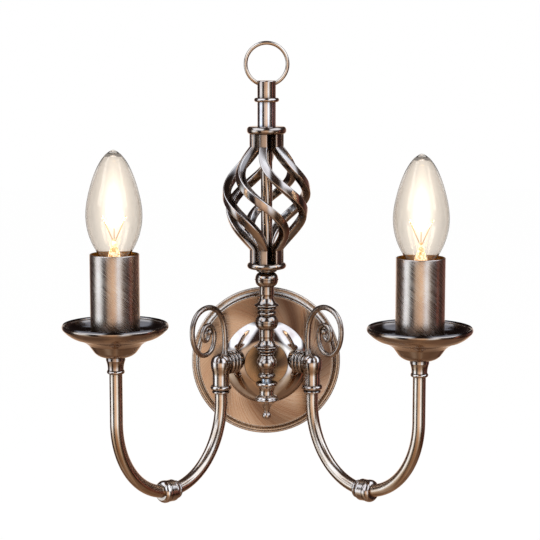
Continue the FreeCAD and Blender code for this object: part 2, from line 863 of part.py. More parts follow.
def arm_path(inner_end, outer_end):
    half = arm_span / 2
    centre = Vector(half, 0, arm_bend_level)
    deepest = centre - up * arm_bend_depth
    if arm_bend_depth > half:
        curve = Part.Ellipse(deepest, centre - Vector(half, 0, 0), centre)
    else:
        curve = Part.Ellipse(centre - Vector(half, 0, 0), deepest, centre)
    ends = [curve.parameter(centre + Vector(x, 0, 0)) for x in (-half, half)]
    low = curve.parameter(deepest)
    arcs = []
    for a in ends:
        first, last = sorted((a, low)) if abs(a - low) < math.pi else (max(a, low), min(a, low)
                                                                       + 2 * math.pi)
        arcs.append(Part.ArcOfEllipse(curve, first, last).toShape())
    inner = Part.makeLine(inner_end, centre - Vector(half, 0, 0))
    outer = Part.makeLine(centre + Vector(half, 0, 0), outer_end)
    return [inner] + arcs + [outer]


def arm_tube(seat):
    top = Vector(0, 0, acorn_bottom + arm_tube_insert)
    outer_end = Vector(arm_span, 0, seat - ferrule_length + ferrule_tube_depth)
    path = Part.Wire(arm_path(top, outer_end))
    return swept(path, arm_tube_radius).cut(swept(path, arm_tube_radius - arm_tube_wall))


def arm_core():
    low = Vector(0, 0, arm_bend_level + 2)
    path = Part.Wire(arm_path(low, Vector(arm_span, 0, arm_bend_level + 2)))
    return swept(path, arm_tube_radius)


def arm_wire(seat, side):
    start = Vector(side * terminal_pitch / 2, -bar_sheet - terminal_level, block_top() + 0.5)
    entry = Vector(-boss_reach - 3.0, 0, arm_level)
    place = arm_placed(Part.Vertex(entry), 1).Point
    a = math.radians(arm_angle)
    lead = Part.BSplineCurve()
    lead.interpolate([Vector(abs(start.x), start.y, start.z), place],
                     Tangents=[up * 12, Vector(math.sin(a), -math.cos(a), 0) * 12],
                     TangentFlags=[True, True])
    bend_start = Vector(-arm_wire_bend, 0, arm_level)
    bend_end = Vector(0, 0, arm_level - arm_wire_bend)
    half_turn = arm_wire_bend * (1 - math.sqrt(0.5))
    middle = Vector(-half_turn, 0, arm_level - half_turn)
    edges = [Part.makeLine(entry, bend_start), Part.Arc(bend_start, middle, bend_end).toShape()]
    edges += arm_path(bend_end, Vector(arm_span, 0, seat + holder_bottom + 1))
    local = Part.Wire(edges)
    route = Part.Wire([lead.toShape()] + arm_placed(local, 1).Edges)
    cable = swept(route, arm_wire_radius)
    return cable if side > 0 else cable.mirror(origin, Vector(1, 0, 0))


def knuckle():
    end = knuckle_length
    edge = end - knuckle_end_length
    bead_end = knuckle_bead_width
    body = turned(
        [(0, 0)] + bead(knuckle_bead_radius, 0, bead_end)
        + [(knuckle_bead_radius - 0.9, bead_end + 0.1),
           (knuckle_body_radius - 0.35, bead_end + 1.1,
            knuckle_body_radius, bead_end + 3.2),
           (knuckle_body_radius, edge - 1.5),
           (knuckle_body_radius - 0.4, edge - 1.4),
           (knuckle_body_radius - 0.4, edge - 0.8),
           (knuckle_mouth_radius, edge - 0.6),
           (knuckle_mouth_radius, edge),
           (knuckle_mouth_radius - 0.7, edge + knuckle_end_length * 0.7,
            arm_tube_radius + 1.2, end),
           (0, end)])
    share = knuckle_offset / (arm_span / 2)
    drop = arm_bend_depth * math.sqrt(1 - share ** 2)
    slope = math.degrees(math.atan(arm_bend_depth * share
                                   / (arm_span / 2 * math.sqrt(1 - share ** 2))))
    body = rotated(along_span(moved(body, z=-end / 2)), Vector(0, 1, 0), -slope)
    body = moved(body, arm_span / 2 + knuckle_offset, 0, arm_bend_level - drop)
    return body.cut(arm_core())


# ---- lamps, drawn on the Z axis with the drip pan's seat at 0 --------------
def lamp_placed(shape, side, seat):
    return arm_placed(moved(shape, arm_span, 0, seat), side)


def lamp_ferrule():
    bead_top = -ferrule_length + lamp_bead_height
    body = turned(
        [(0, -ferrule_length)] + bead(lamp_bead_radius, -ferrule_length, bead_top)
        + [(lamp_ferrule_neck, bead_top),
           (lamp_ferrule_neck, bead_top + 1.0, lamp_ferrule_radius, -2.0),
           (lamp_ferrule_radius, 0), (0, 0)])
    body = body.cut(rod(arm_tube_radius, -ferrule_length - 1,
                        -ferrule_length + ferrule_tube_depth))
    return body.cut(rod(nipple_radius + fit, -ferrule_length, 1))


def pan_slope():
    return ((pan_shoulder_height - pan_cup_height) / (pan_shoulder_radius - pan_cup_radius))


def pan_inside(radius):
    # height of the pan's inner face over its seat, on the straight stretch
    rise = pan_cup_height + (radius - pan_cup_radius) * pan_slope()
    return rise + pan_sheet * math.hypot(1, pan_slope())


def drip_pan():
    s = math.hypot(1, pan_slope())
    across = pan_sheet * pan_slope() / s
    rise = pan_sheet / s
    lip_low = pan_depth - pan_lip_height
    lip_in = pan_radius - pan_lip_width
    sweep = pan_flare_radius - pan_shoulder_radius
    climb = pan_flare_height - pan_shoulder_height
    return turned([
        (nipple_radius + fit, 0), (pan_floor_radius, 0),
        (pan_cup_radius - 2.6, pan_cup_height * 0.38, pan_cup_radius, pan_cup_height),
        (pan_shoulder_radius, pan_shoulder_height),
        (pan_shoulder_radius + sweep * 0.43, pan_shoulder_height + climb * 0.58,
         pan_flare_radius, pan_flare_height),
        (pan_radius - 3.7, lip_low - 2.7, pan_radius - 0.8, lip_low),
        (pan_radius, pan_depth - pan_lip_height / 2, pan_radius - 0.8, pan_depth),
        (lip_in + 0.2, pan_depth - 0.6, lip_in, pan_depth - pan_lip_height / 2),
        (lip_in - 2.3, lip_low - 1.8,
         pan_flare_radius - rise * 0.5, pan_flare_height + pan_sheet * 0.93),
        (pan_shoulder_radius - across + sweep * 0.43,
         pan_shoulder_height + rise + climb * 0.62,
         pan_shoulder_radius - across, pan_shoulder_height + rise),
        (pan_cup_radius - across, pan_cup_height + rise),
        (pan_cup_radius - 3.0, pan_cup_height * 0.38 + pan_sheet * 0.9,
         pan_floor_radius - 0.3, pan_sheet),
        (nipple_radius + fit, pan_sheet)])


def nipple():
    return tube(nipple_radius, nipple_bore_radius,
                -ferrule_length + ferrule_tube_depth + 0.2, nipple_top)


def pan_nut():
    return hexagon(pan_nut_width, pan_sheet, pan_sheet + pan_nut_height, nipple_radius + fit)


def holder_radius():
    return sleeve_radius - sleeve_wall - holder_gap


def lampholder():
    top = holder_bottom + holder_height
    base_top = holder_bottom + holder_base_height
    wide = holder_radius()
    body = turned([
        (0, holder_bottom), (holder_base_radius, holder_bottom),
        (holder_base_radius, base_top), (wide - 1.5, base_top + 3), (wide, base_top + 4.5),
        (wide, top - 2), (wide - 0.6, top - 0.6, wide - 2, top), (0, top)])
    body = body.cut(rod(cap_radius + socket_gap, socket_floor, top + 1))
    return body.cut(rod(nipple_radius + fit, holder_bottom - 1, nipple_top + 1))


def holder_contact():
    # spring tongue under the bulb's button
    foot = Part.makeBox(2 * contact_radius, 2.4, 0.4, Vector(-contact_radius, -1.2, socket_floor))
    leaf = Part.makeBox(contact_radius, 2.4, 0.4,
                        Vector(-contact_radius / 2, -1.2, socket_floor + contact_height))
    riser = Part.makeBox(0.4, 2.4, contact_height,
                         Vector(-contact_radius / 2, -1.2, socket_floor + 0.2))
    return foot.fuse([leaf, riser]).removeSplitter()


def candle_sleeve():
    low = pan_inside(sleeve_radius)
    inner = sleeve_radius - sleeve_wall
    return turned([
        (inner, low), (sleeve_radius, low), (sleeve_radius, sleeve_top - sleeve_lip),
        (sleeve_radius - 0.15, sleeve_top - 0.15, sleeve_radius - sleeve_lip, sleeve_top),
        (inner, sleeve_top)])


# ---- bulb, drawn with its lowest point at 0 --------------------------------
def glass_outline(shrink):
    # radius and height shares of a candle bulb, from the neck to the tip
    shares = [(0.47, 0.30), (0.74, 0.395), (1.0, 0.577), (0.863, 0.747), (0.554, 0.898),
              (0.115, 0.992)]
    points = [Vector(bulb_neck_radius - shrink, 0, cap_height)]
    for radius, height in shares:
        points.append(Vector(bulb_radius * radius - shrink * min(1.0, radius * 2), 0,
                             bulb_length * height - shrink * max(0.0, height - 0.577) * 2.2))
    tip = Vector(0, 0, bulb_length - shrink * 2)
    points.append(tip)
    curve = Part.BSplineCurve()
    curve.interpolate(points)
    foot = Vector(0, 0, cap_height)
    edges = [curve.toShape(), Part.makeLine(tip, foot), Part.makeLine(foot, points[0])]
    return Part.Face(Part.Wire(edges))


def bulb_glass():
    outer = glass_outline(0).revolve(origin, up, 360)
    inner = glass_outline(bulb_glass_wall).revolve(origin, up, 360)
    return outer.cut(inner)


def bulb_cap():
    cone_top = cap_button_height + cap_cone_height
    points = [(0, 0), (cap_button_radius, 0), (cap_button_radius, cap_button_height),
              (cap_radius - 1.2, cone_top)]
    level = cone_top + 0.4
    points.append((cap_radius - cap_thread_depth, level))
    for turn in range(cap_thread_count):
        low = level + turn * cap_thread_pitch
        points.append((cap_radius, low + cap_thread_pitch / 2,
                       cap_radius - cap_thread_depth, low + cap_thread_pitch))
    points += [(cap_radius - 0.1, cap_height - 0.5), (cap_radius - 0.1, cap_height),
               (0, cap_height)]
    return turned(points)


def bulb_filament():
    # the glass stem with two leads, a support and the hanging filament between them
    foot = cap_height
    stem_top = foot + stem_height
    stem = turned([(0, foot), (stem_base_radius, foot),
                   (stem_shoulder_radius, foot + stem_shoulder_height),
                   (stem_radius, stem_top), (0, stem_top)])
    left = Vector(-lead_spread, 0, filament_level)
    right = Vector(lead_spread, 0, filament_level)
    lowest = Vector(0, 0, filament_level - filament_sag)
    pieces = [stem]
    for end in (left, lowest, right):
        start = Vector(end.x * 0.06, 0, stem_top - 1.5)
        line = Part.makeLine(start, end)
        pieces.append(swept(Part.Wire([line]), lead_radius))
        pieces.append(Part.makeSphere(filament_radius, end))
    hanging = Part.Arc(left, lowest, right).toShape()
    pieces.append(swept(Part.Wire([hanging]), filament_radius))
    return pieces[0].fuse(pieces[1:]).removeSplitter()


# ---- all pieces ------------------------------------------------------------
def build():
    nodes = {}
    dome = [out_of_wall(dome_solid()), dome_cap()]
    scroll_body = scroll()
    vase_body = vase()
    nodes["wall_bar"] = wall_bar()
    nodes["wall_stud"] = wall_stud()
    nodes["bar_nut"] = bar_nut()
    nodes["terminal_block"] = terminal_block()
    nodes["terminal_inserts"] = terminal_inserts()
    nodes["terminal_screws"] = terminal_screws()
    nodes["earth_screw"] = earth_screw()
    nodes["backplate"] = backplate()
    nodes["dome_cup"] = dome_cup([wire_bore(-1), wire_bore(1)])
    nodes["dome_cap"] = dome_cap()
    nodes["sleeve_nut"] = sleeve_nut(vase_body)

    nodes["column_vase"] = vase_body
    nodes["vase_ring"] = vase_ring()
    nodes["finial_stud"] = finial_stud()
    nodes["finial"] = finial()
    nodes["lower_spindle"] = lower_spindle()
    nodes["upper_spindle"] = upper_spindle()
    nodes["column_tie_rod"] = tie_rod()
    nodes["basket_bottom_collar"] = at_column(
        collar(collar_radius, upper_top, bottom_collar_top, tie_rod_radius + fit))
    nodes["basket_core_rod"] = at_column(rod(core_radius, bottom_collar_top, basket_top))
    for bar in range(bar_count):
        nodes["basket_bar_%d" % (bar + 1)] = basket_bar(bar)
    nodes["basket_top_collar"] = at_column(collar(collar_radius, basket_top, top_collar_top, 0))
    nodes["upper_rod"] = at_column(rod(upper_rod_radius, top_collar_top, upper_rod_top))
    nodes["ferrule_collar"] = at_column(
        collar(ferrule_collar_radius, upper_rod_top, ferrule_base, 0))
    nodes["ring_ferrule"] = ring_ferrule()
    nodes["top_ring"] = top_ring()

    nipples = []
    nuts = []
    contacts = []
    for side, name in ((-1, "left"), (1, "right")):
        seat = lamp_level - (right_lamp_drop if side > 0 else 0)
        boss = arm_boss(dome, scroll_body)
        nodes["arm_boss_" + name] = boss if side > 0 else boss.mirror(origin, Vector(1, 0, 0))
        nodes["acorn_" + name] = arm_placed(acorn(), side)
        nodes["scroll_" + name] = arm_placed(scroll_body, side)
        nodes["arm_tube_" + name] = arm_placed(arm_tube(seat), side)
        nodes["arm_knuckle_" + name] = arm_placed(knuckle(), side)
        nodes["arm_wire_" + name] = arm_wire(seat, side)
        nodes["lamp_ferrule_" + name] = lamp_placed(lamp_ferrule(), side, seat)
        nodes["drip_pan_" + name] = lamp_placed(drip_pan(), side, seat)
        nodes["lampholder_" + name] = lamp_placed(lampholder(), side, seat)
        nodes["candle_sleeve_" + name] = lamp_placed(candle_sleeve(), side, seat)
        bulb_seat = seat + bulb_base_level
        nodes["bulb_glass_" + name] = lamp_placed(bulb_glass(), side, bulb_seat)
        nodes["bulb_cap_" + name] = lamp_placed(bulb_cap(), side, bulb_seat)
        nodes["bulb_filament_" + name] = lamp_placed(bulb_filament(), side, bulb_seat)
        nipples.append(lamp_placed(nipple(), side, seat))
        nuts.append(lamp_placed(pan_nut(), side, seat))
        contacts.append(lamp_placed(holder_contact(), side, seat))
    nodes["lamp_nipples"] = Part.makeCompound(nipples)
    nodes["pan_nuts"] = Part.makeCompound(nuts)
    nodes["holder_contacts"] = Part.makeCompound(contacts)
    return nodes


os.makedirs("parts", exist_ok=True)
for node, shape in build().items():
    shape.exportStep("parts/%s.step" % node)
    print("%-24s solids %d valid %s volume %.1f" % (node, len(shape.Solids), shape.isValid(),
                                                   shape.Volume))
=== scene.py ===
import math

import bmesh
import bpy
import numpy as np
from mathutils import Euler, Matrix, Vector


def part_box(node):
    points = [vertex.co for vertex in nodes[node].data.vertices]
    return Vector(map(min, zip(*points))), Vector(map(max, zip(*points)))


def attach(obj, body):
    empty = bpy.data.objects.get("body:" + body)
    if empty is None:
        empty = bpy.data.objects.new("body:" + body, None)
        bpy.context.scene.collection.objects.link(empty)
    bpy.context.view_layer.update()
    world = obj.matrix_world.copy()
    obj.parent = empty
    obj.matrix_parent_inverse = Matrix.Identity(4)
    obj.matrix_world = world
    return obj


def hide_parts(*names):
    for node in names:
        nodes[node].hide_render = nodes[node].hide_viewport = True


mm = 0.001
noiseLow, noiseHigh = 0.3, 0.7        # nearly all of a noise's values lie between these


def linearColour(hexValue):
    # sRGB hex to linear: each channel divided by 12.92 when dark, otherwise raised to 2.4
    channels = [int(hexValue[i:i + 2], 16) / 255 for i in (1, 3, 5)]
    return [c / 12.92 if c <= 0.04045 else ((c + 0.055) / 1.055) ** 2.4
            for c in channels] + [1.0]


def feed(node, sockets):
    # a socket takes a value, a hex colour, an output to link, or a node to link, which
    # stands for its first live output
    for name, source in sockets.items():
        if isinstance(source, bpy.types.Node):
            source = next(output for output in source.outputs if output.enabled)
        if isinstance(source, bpy.types.NodeSocket):
            node.id_data.links.new(source, node.inputs[name])
        else:
            colour = isinstance(source, str)
            node.inputs[name].default_value = linearColour(source) if colour else source


def addNode(tree, kind, sockets=None, **settings):
    # one shader node: first its settings, which decide its sockets, then the sockets
    node = tree.nodes.new("ShaderNode" + kind)
    for name, value in settings.items():
        setattr(node, name, value)
    feed(node, sockets or {})
    return node


def setStops(ramp, stops):
    # places a ramp's colours: (position, hex colour) from left to right
    elements = ramp.color_ramp.elements
    while len(elements) > 1:
        elements.remove(elements[-1])
    elements[0].position = stops[0][0]
    elements[0].color = linearColour(stops[0][1])
    for position, colour in stops[1:]:
        elements.new(position).color = linearColour(colour)
    return ramp


def emptyTree(owner):
    owner.use_nodes = True
    owner.node_tree.nodes.clear()
    return owner.node_tree


def startMaterial(name):
    material = bpy.data.materials.new(name)
    tree = emptyTree(material)
    shader = addNode(tree, "BsdfPrincipled")
    addNode(tree, "OutputMaterial", {"Surface": shader})
    return material, tree, shader, addNode(tree, "TexCoord")


def finishWith(obj, material):
    slots = obj.data.materials
    if slots:
        for index in range(len(slots)):
            slots[index] = material
    else:
        slots.append(material)


brass = {
    "worn": "#d6bfa6",         # where the lacquered brass is rubbed bright
    "antique": "#a88c78",      # the browned brass between
    "warm": "#b48f6c",         # drawn tube, a little yellower
    "deep": "#86705f",         # a darker copy of the browned brass, for the column, pans, bosses and scrolls
    "low": "#c2a88e",          # the paler tone of that darker pair
    "pale": "#ece2da",         # a drawn rod, rubbed almost to silver
    "patina": "#1a1113",       # what the darkening bath leaves in the grooves, and the painted shade in recesses, on bar faces and on faces that look up
    "patinaReach": 2.2,        # mm that the patina and painted shade reach out of a groove
    "openness": (0.4, 0.93),   # ambient occlusion from a shut-in groove, fully darkened, to an open face, left clean
    "cloudSize": 14.0,         # mm across the paler and darker clouds
    "cornerWearAndHighlight": (0.5, 1.2),   # mm from a bar's corner over which its bright corner, part wear and part painted highlight, fades into the painted shade of its faces
    "upwardShadeLean": (0.25, 0.5),   # how far up a face looks where its painted shade starts, and where it is full
    "lacquerGloss": 0.06,
    "markLength": 25.0,        # mm that a brushed mark runs outwards
    "fanLength": 250.0,        # mm that a broad painted fan of sheen would
    "fanSpread": 1.3,          # radius of the circle on which the painted fans of sheen are read
}


def brassBody(tree, shader, place, marks, coat, contrast, bump, roughness, patina=0.75,
              sheenFans=None, hollow=0.0, reach=None, side=None, wearAndHighlight=None,
              tones=("antique", "worn")):
    # brown antique brass: plated, darkened in a bath, rubbed back and lacquered; it gives near
    # white and deep brown reflections side by side, with dark grooves, partly patina and partly
    # painted shade; the marks are added to the clouds by contrast x 6, and both shade between
    # the two tones
    clouds = addNode(tree, "TexNoise", {"Vector": place.outputs["Object"], "Detail": 2.0,
                                        "Scale": 1 / (brass["cloudSize"] * mm)})
    tone = addNode(tree, "Math", {0: marks, 1: contrast * 6, 2: clouds},
                   operation="MULTIPLY_ADD")
    shade = addNode(tree, "MapRange", {"Value": tone, "From Min": noiseLow + contrast * 2,
                                       "From Max": noiseHigh + contrast * 4})
    if wearAndHighlight:
        shade = addNode(tree, "Math", {0: shade, 1: wearAndHighlight}, operation="ADD", use_clamp=True)
    metal = addNode(tree, "Mix", {"Factor": shade, "A": brass[tones[0]], "B": brass[tones[1]]},
                    data_type="RGBA")
    # painted sheen: the fans multiply the metal's colour
    if sheenFans:
        metal = addNode(tree, "Mix", {"Factor": 1.0, "A": metal, "B": sheenFans},
                        data_type="RGBA", blend_type="MULTIPLY")
    # patina and painted shade: ambient occlusion darkens the grooves, recesses and coves
    corner = addNode(tree, "AmbientOcclusion", samples=4, inside=False,
                     sockets={"Distance": (reach or brass["patinaReach"]) * mm})
    shut, free = brass["openness"]
    dark = [addNode(tree, "MapRange", {"Value": corner.outputs["AO"], "From Min": shut,
                                       "From Max": free, "To Min": patina, "To Max": 0.0})]
    if side:
        # a square bar: its faces are darkened and its corners, a side's length apart round it,
        # stay bright; partly rubbed wear, partly painted shade on the faces and painted
        # highlight on the corners
        around = addNode(tree, "SeparateXYZ", {0: place.outputs["UV"]})
        first = addNode(tree, "Math", {0: around.outputs[0], 1: side["first"]},
                        operation="SUBTRACT")
        away = addNode(tree, "Math", {0: first, 1: side["apart"] / 2}, operation="PINGPONG")
        near, far = brass["cornerWearAndHighlight"]
        dark.append(addNode(tree, "MapRange", {"Value": away, "From Min": near,
                                               "From Max": far, "To Max": side["dark"]}))
    if hollow:
        # painted shade: faces that look upward, such as a dish's inside, are darkened
        upward = addNode(tree, "SeparateXYZ", {0: place.outputs["Normal"]})
        level, steep = brass["upwardShadeLean"]
        dark.append(addNode(tree, "MapRange", {"Value": upward.outputs[2], "From Min": level,
                                               "From Max": steep, "To Max": hollow}))
    for cover in dark:
        metal = addNode(tree, "Mix", {"Factor": cover, "A": metal, "B": brass["patina"]},
                        data_type="RGBA")
    gloss = addNode(tree, "MapRange", {"Value": marks, "From Min": noiseLow,
                                       "From Max": noiseHigh, "To Min": roughness * 0.75,
                                       "To Max": roughness * 1.35})
    relief = addNode(tree, "Bump", {"Height": marks, "Strength": 1.0, "Distance": bump * mm})
    feed(shader, {"Base Color": metal, "Roughness": gloss, "Normal": relief, "Metallic": 1.0,
                  "Coat Weight": coat, "Coat Roughness": brass["lacquerGloss"]})


def antiqueBrass(name, streak, turn=(0, 0, 0), space="Object", coat=0.3, contrast=0.1,
                 bump=0.02, roughness=0.16, **more):
    # streak is the size in mm of the tool's or brush's marks along the three axes, after
    # the turn in degrees
    material, tree, shader, place = startMaterial(name)
    measure = mm if space == "Object" else 1.0
    spun = addNode(tree, "Mapping", {"Vector": place.outputs[space],
                                     "Rotation": [math.radians(a) for a in turn]})
    lines = addNode(tree, "Mapping", {"Vector": spun,
                                      "Scale": [1 / (size * measure) for size in streak]})
    marks = addNode(tree, "TexNoise", {"Vector": lines, "Scale": 1.0, "Detail": 3.0,
                                       "Roughness": 0.65})
    brassBody(tree, shader, place, marks, coat, contrast, bump, roughness, **more)
    return material


def swirledBrass(name, centre, lines, lean, contrast, bump, roughness, stops, coat=0.1,
                 middle=None, bowSheen=None, rim=None):
    # brushed while it turned, so the marks run outwards in a spiral: the noise is read on a
    # circle at the angle minus lean x log(radius), which holds steady along each mark; a slower
    # noise on the same circle gives broad pale and dark fans, a painted sheen that stands in
    # for the reflections of the brushed face
    material, tree, shader, place = startMaterial(name)
    about = addNode(tree, "Mapping", {"Vector": place.outputs["Object"], "Scale": (1, 0, 1),
                                      "Location": [-c * mm for c in centre]})
    axes = addNode(tree, "SeparateXYZ", {0: about})
    angle = addNode(tree, "Math", {0: axes.outputs[2], 1: axes.outputs[0]},
                    operation="ARCTAN2")
    radius = addNode(tree, "VectorMath", {0: about}, operation="LENGTH")
    spread = addNode(tree, "Math", {0: radius, 1: math.e}, operation="LOGARITHM")
    line = addNode(tree, "Math", {0: spread, 1: -lean, 2: angle}, operation="MULTIPLY_ADD")
    across = addNode(tree, "Math", {0: line}, operation="COSINE")
    over = addNode(tree, "Math", {0: line}, operation="SINE")
    spot = addNode(tree, "CombineXYZ", {0: across, 1: over, 2: radius})
    ring, fan = lines / (2 * math.pi), brass["fanSpread"]   # a mark or a fan is 1 across
    fine = addNode(tree, "Mapping", {"Vector": spot, "Scale": (
        ring, ring, 1 / (brass["markLength"] * mm))})
    marks = addNode(tree, "TexNoise", {"Vector": fine, "Scale": 1.0, "Detail": 3.0,
                                       "Roughness": 0.6})
    slow = addNode(tree, "Mapping", {"Vector": spot, "Scale": (
        fan, fan, 1 / (brass["fanLength"] * mm))})
    sectors = addNode(tree, "TexNoise", {"Vector": slow, "Scale": 1.0, "Detail": 0.0})
    if bowSheen:
        # a painted bow-tie sheen: two pale fans and two dark ones, turned to where a
        # lathe-brushed plate shows its bright and dark reflections
        twice = addNode(tree, "Math", {0: line, 1: 2.0, 2: bowSheen["turn"]},
                        operation="MULTIPLY_ADD")
        pale = addNode(tree, "Math", {0: twice}, operation="COSINE")
        sectors = addNode(tree, "Math", {0: pale, 1: bowSheen["share"], 2: sectors},
                          operation="MULTIPLY_ADD")
    sheenFans = setStops(addNode(tree, "ValToRGB", {"Fac": sectors}), stops)
    wearAndHighlight = None
    if rim:
        # the rounded rim stands proud and is made paler all round, partly rubbed wear and
        # partly a painted highlight; the painted fans give way to it there
        wearAndHighlight = addNode(tree, "MapRange", {"Value": radius, "From Min": rim["from"] * mm,
                                            "From Max": rim["to"] * mm,
                                            "To Max": rim["wearAndHighlight"]})
        sheenFans = addNode(tree, "Mix", {"Factor": wearAndHighlight, "A": sheenFans, "B": "#ffffff"},
                       data_type="RGBA")
    if middle:
        # painted shade: the middle is darkened out to the given radii in mm, standing in for
        # the dark reflection and shade of the column in front of it
        middleShade = addNode(tree, "MapRange", {"Value": radius, "From Min": middle["from"] * mm,
                                          "From Max": middle["to"] * mm,
                                          "To Min": middle["dark"]},
                       interpolation_type="SMOOTHSTEP")
        sheenFans = addNode(tree, "VectorMath", {0: sheenFans, "Scale": middleShade}, operation="SCALE")
    brassBody(tree, shader, place, marks, coat, contrast, bump, roughness, sheenFans=sheenFans,
              wearAndHighlight=wearAndHighlight)
    return material


def mottled(name, colour, roughness, grain, bump, detail, darkest):
    # an even colour that a grain, so many mm across, shades and raises a little
    material, tree, shader, place = startMaterial(name)
    skin = addNode(tree, "TexNoise", {"Vector": place.outputs["Object"],
                                      "Scale": 1 / (grain * mm), "Detail": detail})
    tint = addNode(tree, "MapRange", {"Value": skin, "From Min": noiseLow,
                                      "From Max": noiseHigh, "To Min": darkest})
    mixed = addNode(tree, "Mix", {"Factor": 1.0, "A": colour, "B": tint},
                    data_type="RGBA", blend_type="MULTIPLY")
    relief = addNode(tree, "Bump", {"Height": skin, "Distance": bump * mm})
    feed(shader, {"Base Color": mixed, "Normal": relief, "Roughness": roughness})
    return material, tree, shader, skin


def plainMetal(name, colour, roughness, grain, bump):
    # plated or machined metal: even colour, with marks of the cut a grain in mm apart
    material, tree, shader, marks = mottled(name, colour, roughness, grain, bump, 3.0, 0.82)
    gloss = addNode(tree, "MapRange", {"Value": marks, "To Min": roughness * 0.8,
                                       "To Max": roughness * 1.25})
    feed(shader, {"Roughness": gloss, "Metallic": 1.0})
    return material


def mouldedPiece(name, colour, roughness, grain, bump, subsurface=0.0):
    # nylon, ceramic or cable sheath: a slightly mottled body with a fine skin
    material, _, shader, _ = mottled(name, colour, roughness, grain, bump, 4.0, 0.9)
    feed(shader, {"Subsurface Weight": subsurface, "Subsurface Scale": mm})
    return material


def blownGlass(name, stops, wave, depth):
    # clear soda glass, blown thin, so it waves by a depth over so many mm: almost no tint face
    # on, and a painted darker line at its rim, where the eye looks along the wall: the tint
    # darkens with the facing
    material, tree, shader, place = startMaterial(name)
    waves = addNode(tree, "TexNoise", {"Vector": place.outputs["Object"],
                                       "Scale": 1 / (wave * mm), "Detail": 1.0})
    relief = addNode(tree, "Bump", {"Height": waves, "Strength": 0.4, "Distance": depth * mm})
    rim = addNode(tree, "LayerWeight", {"Blend": 0.5})
    tint = setStops(addNode(tree, "ValToRGB", {"Fac": rim.outputs["Facing"]}), stops)
    feed(shader, {"Base Color": tint, "Normal": relief, "Roughness": 0.0, "IOR": 1.5,
                  "Transmission Weight": 1.0})
    return material


def glowingStem(name, stops, mottle, depth):
    # drawn lead glass with a painted glow, standing in for the wires' light inside it: mottled
    # gold and cream
    material, tree, shader, place = startMaterial(name)
    spots = addNode(tree, "TexNoise", {"Vector": place.outputs["Object"],
                                       "Scale": 1 / (mottle * mm), "Detail": 1.5,
                                       "Roughness": 0.6})
    shine = setStops(addNode(tree, "ValToRGB", {"Fac": spots}), stops)
    relief = addNode(tree, "Bump", {"Height": spots, "Distance": depth * mm})
    feed(shader, {"Emission Color": shine, "Emission Strength": 0.75, "Normal": relief,
                  "Base Color": "#f2e4c8", "Roughness": 0.05, "Transmission Weight": 0.8})
    return material


def litWire(name, stops, strength):
    # drawn tungsten wire, glowing: amber where it is coolest, white where it is hottest;
    # the heat changes over about 3 mm
    material, tree, shader, place = startMaterial(name)
    heat = addNode(tree, "TexNoise", {"Vector": place.outputs["Object"],
                                      "Scale": 1 / (3.0 * mm), "Detail": 1.0})
    shine = setStops(addNode(tree, "ValToRGB", {"Fac": heat}), stops)
    feed(shader, {"Emission Color": shine, "Emission Strength": strength,
                  "Base Color": "#6b625a", "Metallic": 1.0, "Roughness": 0.4})
    return material


def surface(name, points, closeRows=False, uv=None, sharp=35.0):
    # a grid of points (rows x columns x 3, mm) made into quads between neighbours and
    # closed round its columns; rows that shrink to one point are welded there; uv holds
    # each grid point's place in mm
    rows, columns = points.shape[:2]
    r, c = np.meshgrid(np.arange(rows if closeRows else rows - 1), np.arange(columns),
                       indexing="ij")
    r, c = r.ravel(), c.ravel()
    rr, cc = (r + 1) % rows, (c + 1) % columns
    faces = np.stack([r * columns + c, r * columns + cc, rr * columns + cc,
                      rr * columns + c], axis=1)
    mesh = bpy.data.meshes.new(name)
    mesh.from_pydata((points.reshape(-1, 3) * mm).tolist(), [], faces.tolist())
    if uv is not None:
        # the last quad of a closed turn runs on past the seam instead of back across it
        wide = np.concatenate([uv, uv[:, -1:] + uv[:, 1:2] - uv[:, :1]], axis=1)
        rowStep = np.abs(uv[1:2] - uv[:1])
        wide = np.concatenate([wide, wide[-1:] + rowStep[:, :1]], axis=0)
        corners = np.stack([wide[r, c], wide[r, c + 1], wide[r + 1, c + 1],
                            wide[r + 1, c]], axis=1)
        layer = mesh.uv_layers.new(name="place")
        layer.data.foreach_set("uv", corners.reshape(-1, 2).astype(np.float32).ravel())
    weld(mesh)
    mesh.polygons.foreach_set("use_smooth", np.ones(len(mesh.polygons), dtype=bool))
    mesh.set_sharp_from_angle(angle=math.radians(sharp))
    obj = bpy.data.objects.new(name, mesh)
    bpy.context.collection.objects.link(obj)
    return obj


def weld(mesh):
    work = bmesh.new()
    work.from_mesh(mesh)
    bmesh.ops.remove_doubles(work, verts=work.verts, dist=0.5e-6)
    bmesh.ops.dissolve_degenerate(work, edges=work.edges, dist=0.5e-6)
    bmesh.ops.recalc_face_normals(work, faces=work.faces)
    if work.calc_volume(signed=True) < 0:
        bmesh.ops.reverse_faces(work, faces=work.faces)
    work.to_mesh(mesh)
    work.free()


def fullTurn(count):
    return np.linspace(0, 2 * np.pi, count, endpoint=False)


def unit(vectors):
    return vectors / np.linalg.norm(vectors, axis=-1, keepdims=True)


def alongLine(points):
    # distance from the first point to each, measured along the line
    return np.concatenate([[0], np.cumsum(np.linalg.norm(np.diff(points, axis=0), axis=1))])


def placeGrid(around, along):
    return np.stack(np.broadcast_arrays(around[None, :], along[:, None]), axis=2)


def turnedSurface(name, profile, centre, segments=96, closeRows=False, sharp=35.0):
    # a profile of (radius, height) carried round a vertical line through centre; each
    # point is radius x (sin, -cos) of the angle, and its height
    profile = np.array(profile, float)
    angle = fullTurn(segments)
    radius, height = profile[:, :1], profile[:, 1:]
    points = np.stack([radius * np.sin(angle), -radius * np.cos(angle),
                       height + 0 * angle], axis=2) + np.array(centre)
    uv = placeGrid(angle * profile[:, 0].max(), alongLine(profile))
    return surface(name, points, closeRows=closeRows, uv=uv, sharp=sharp)


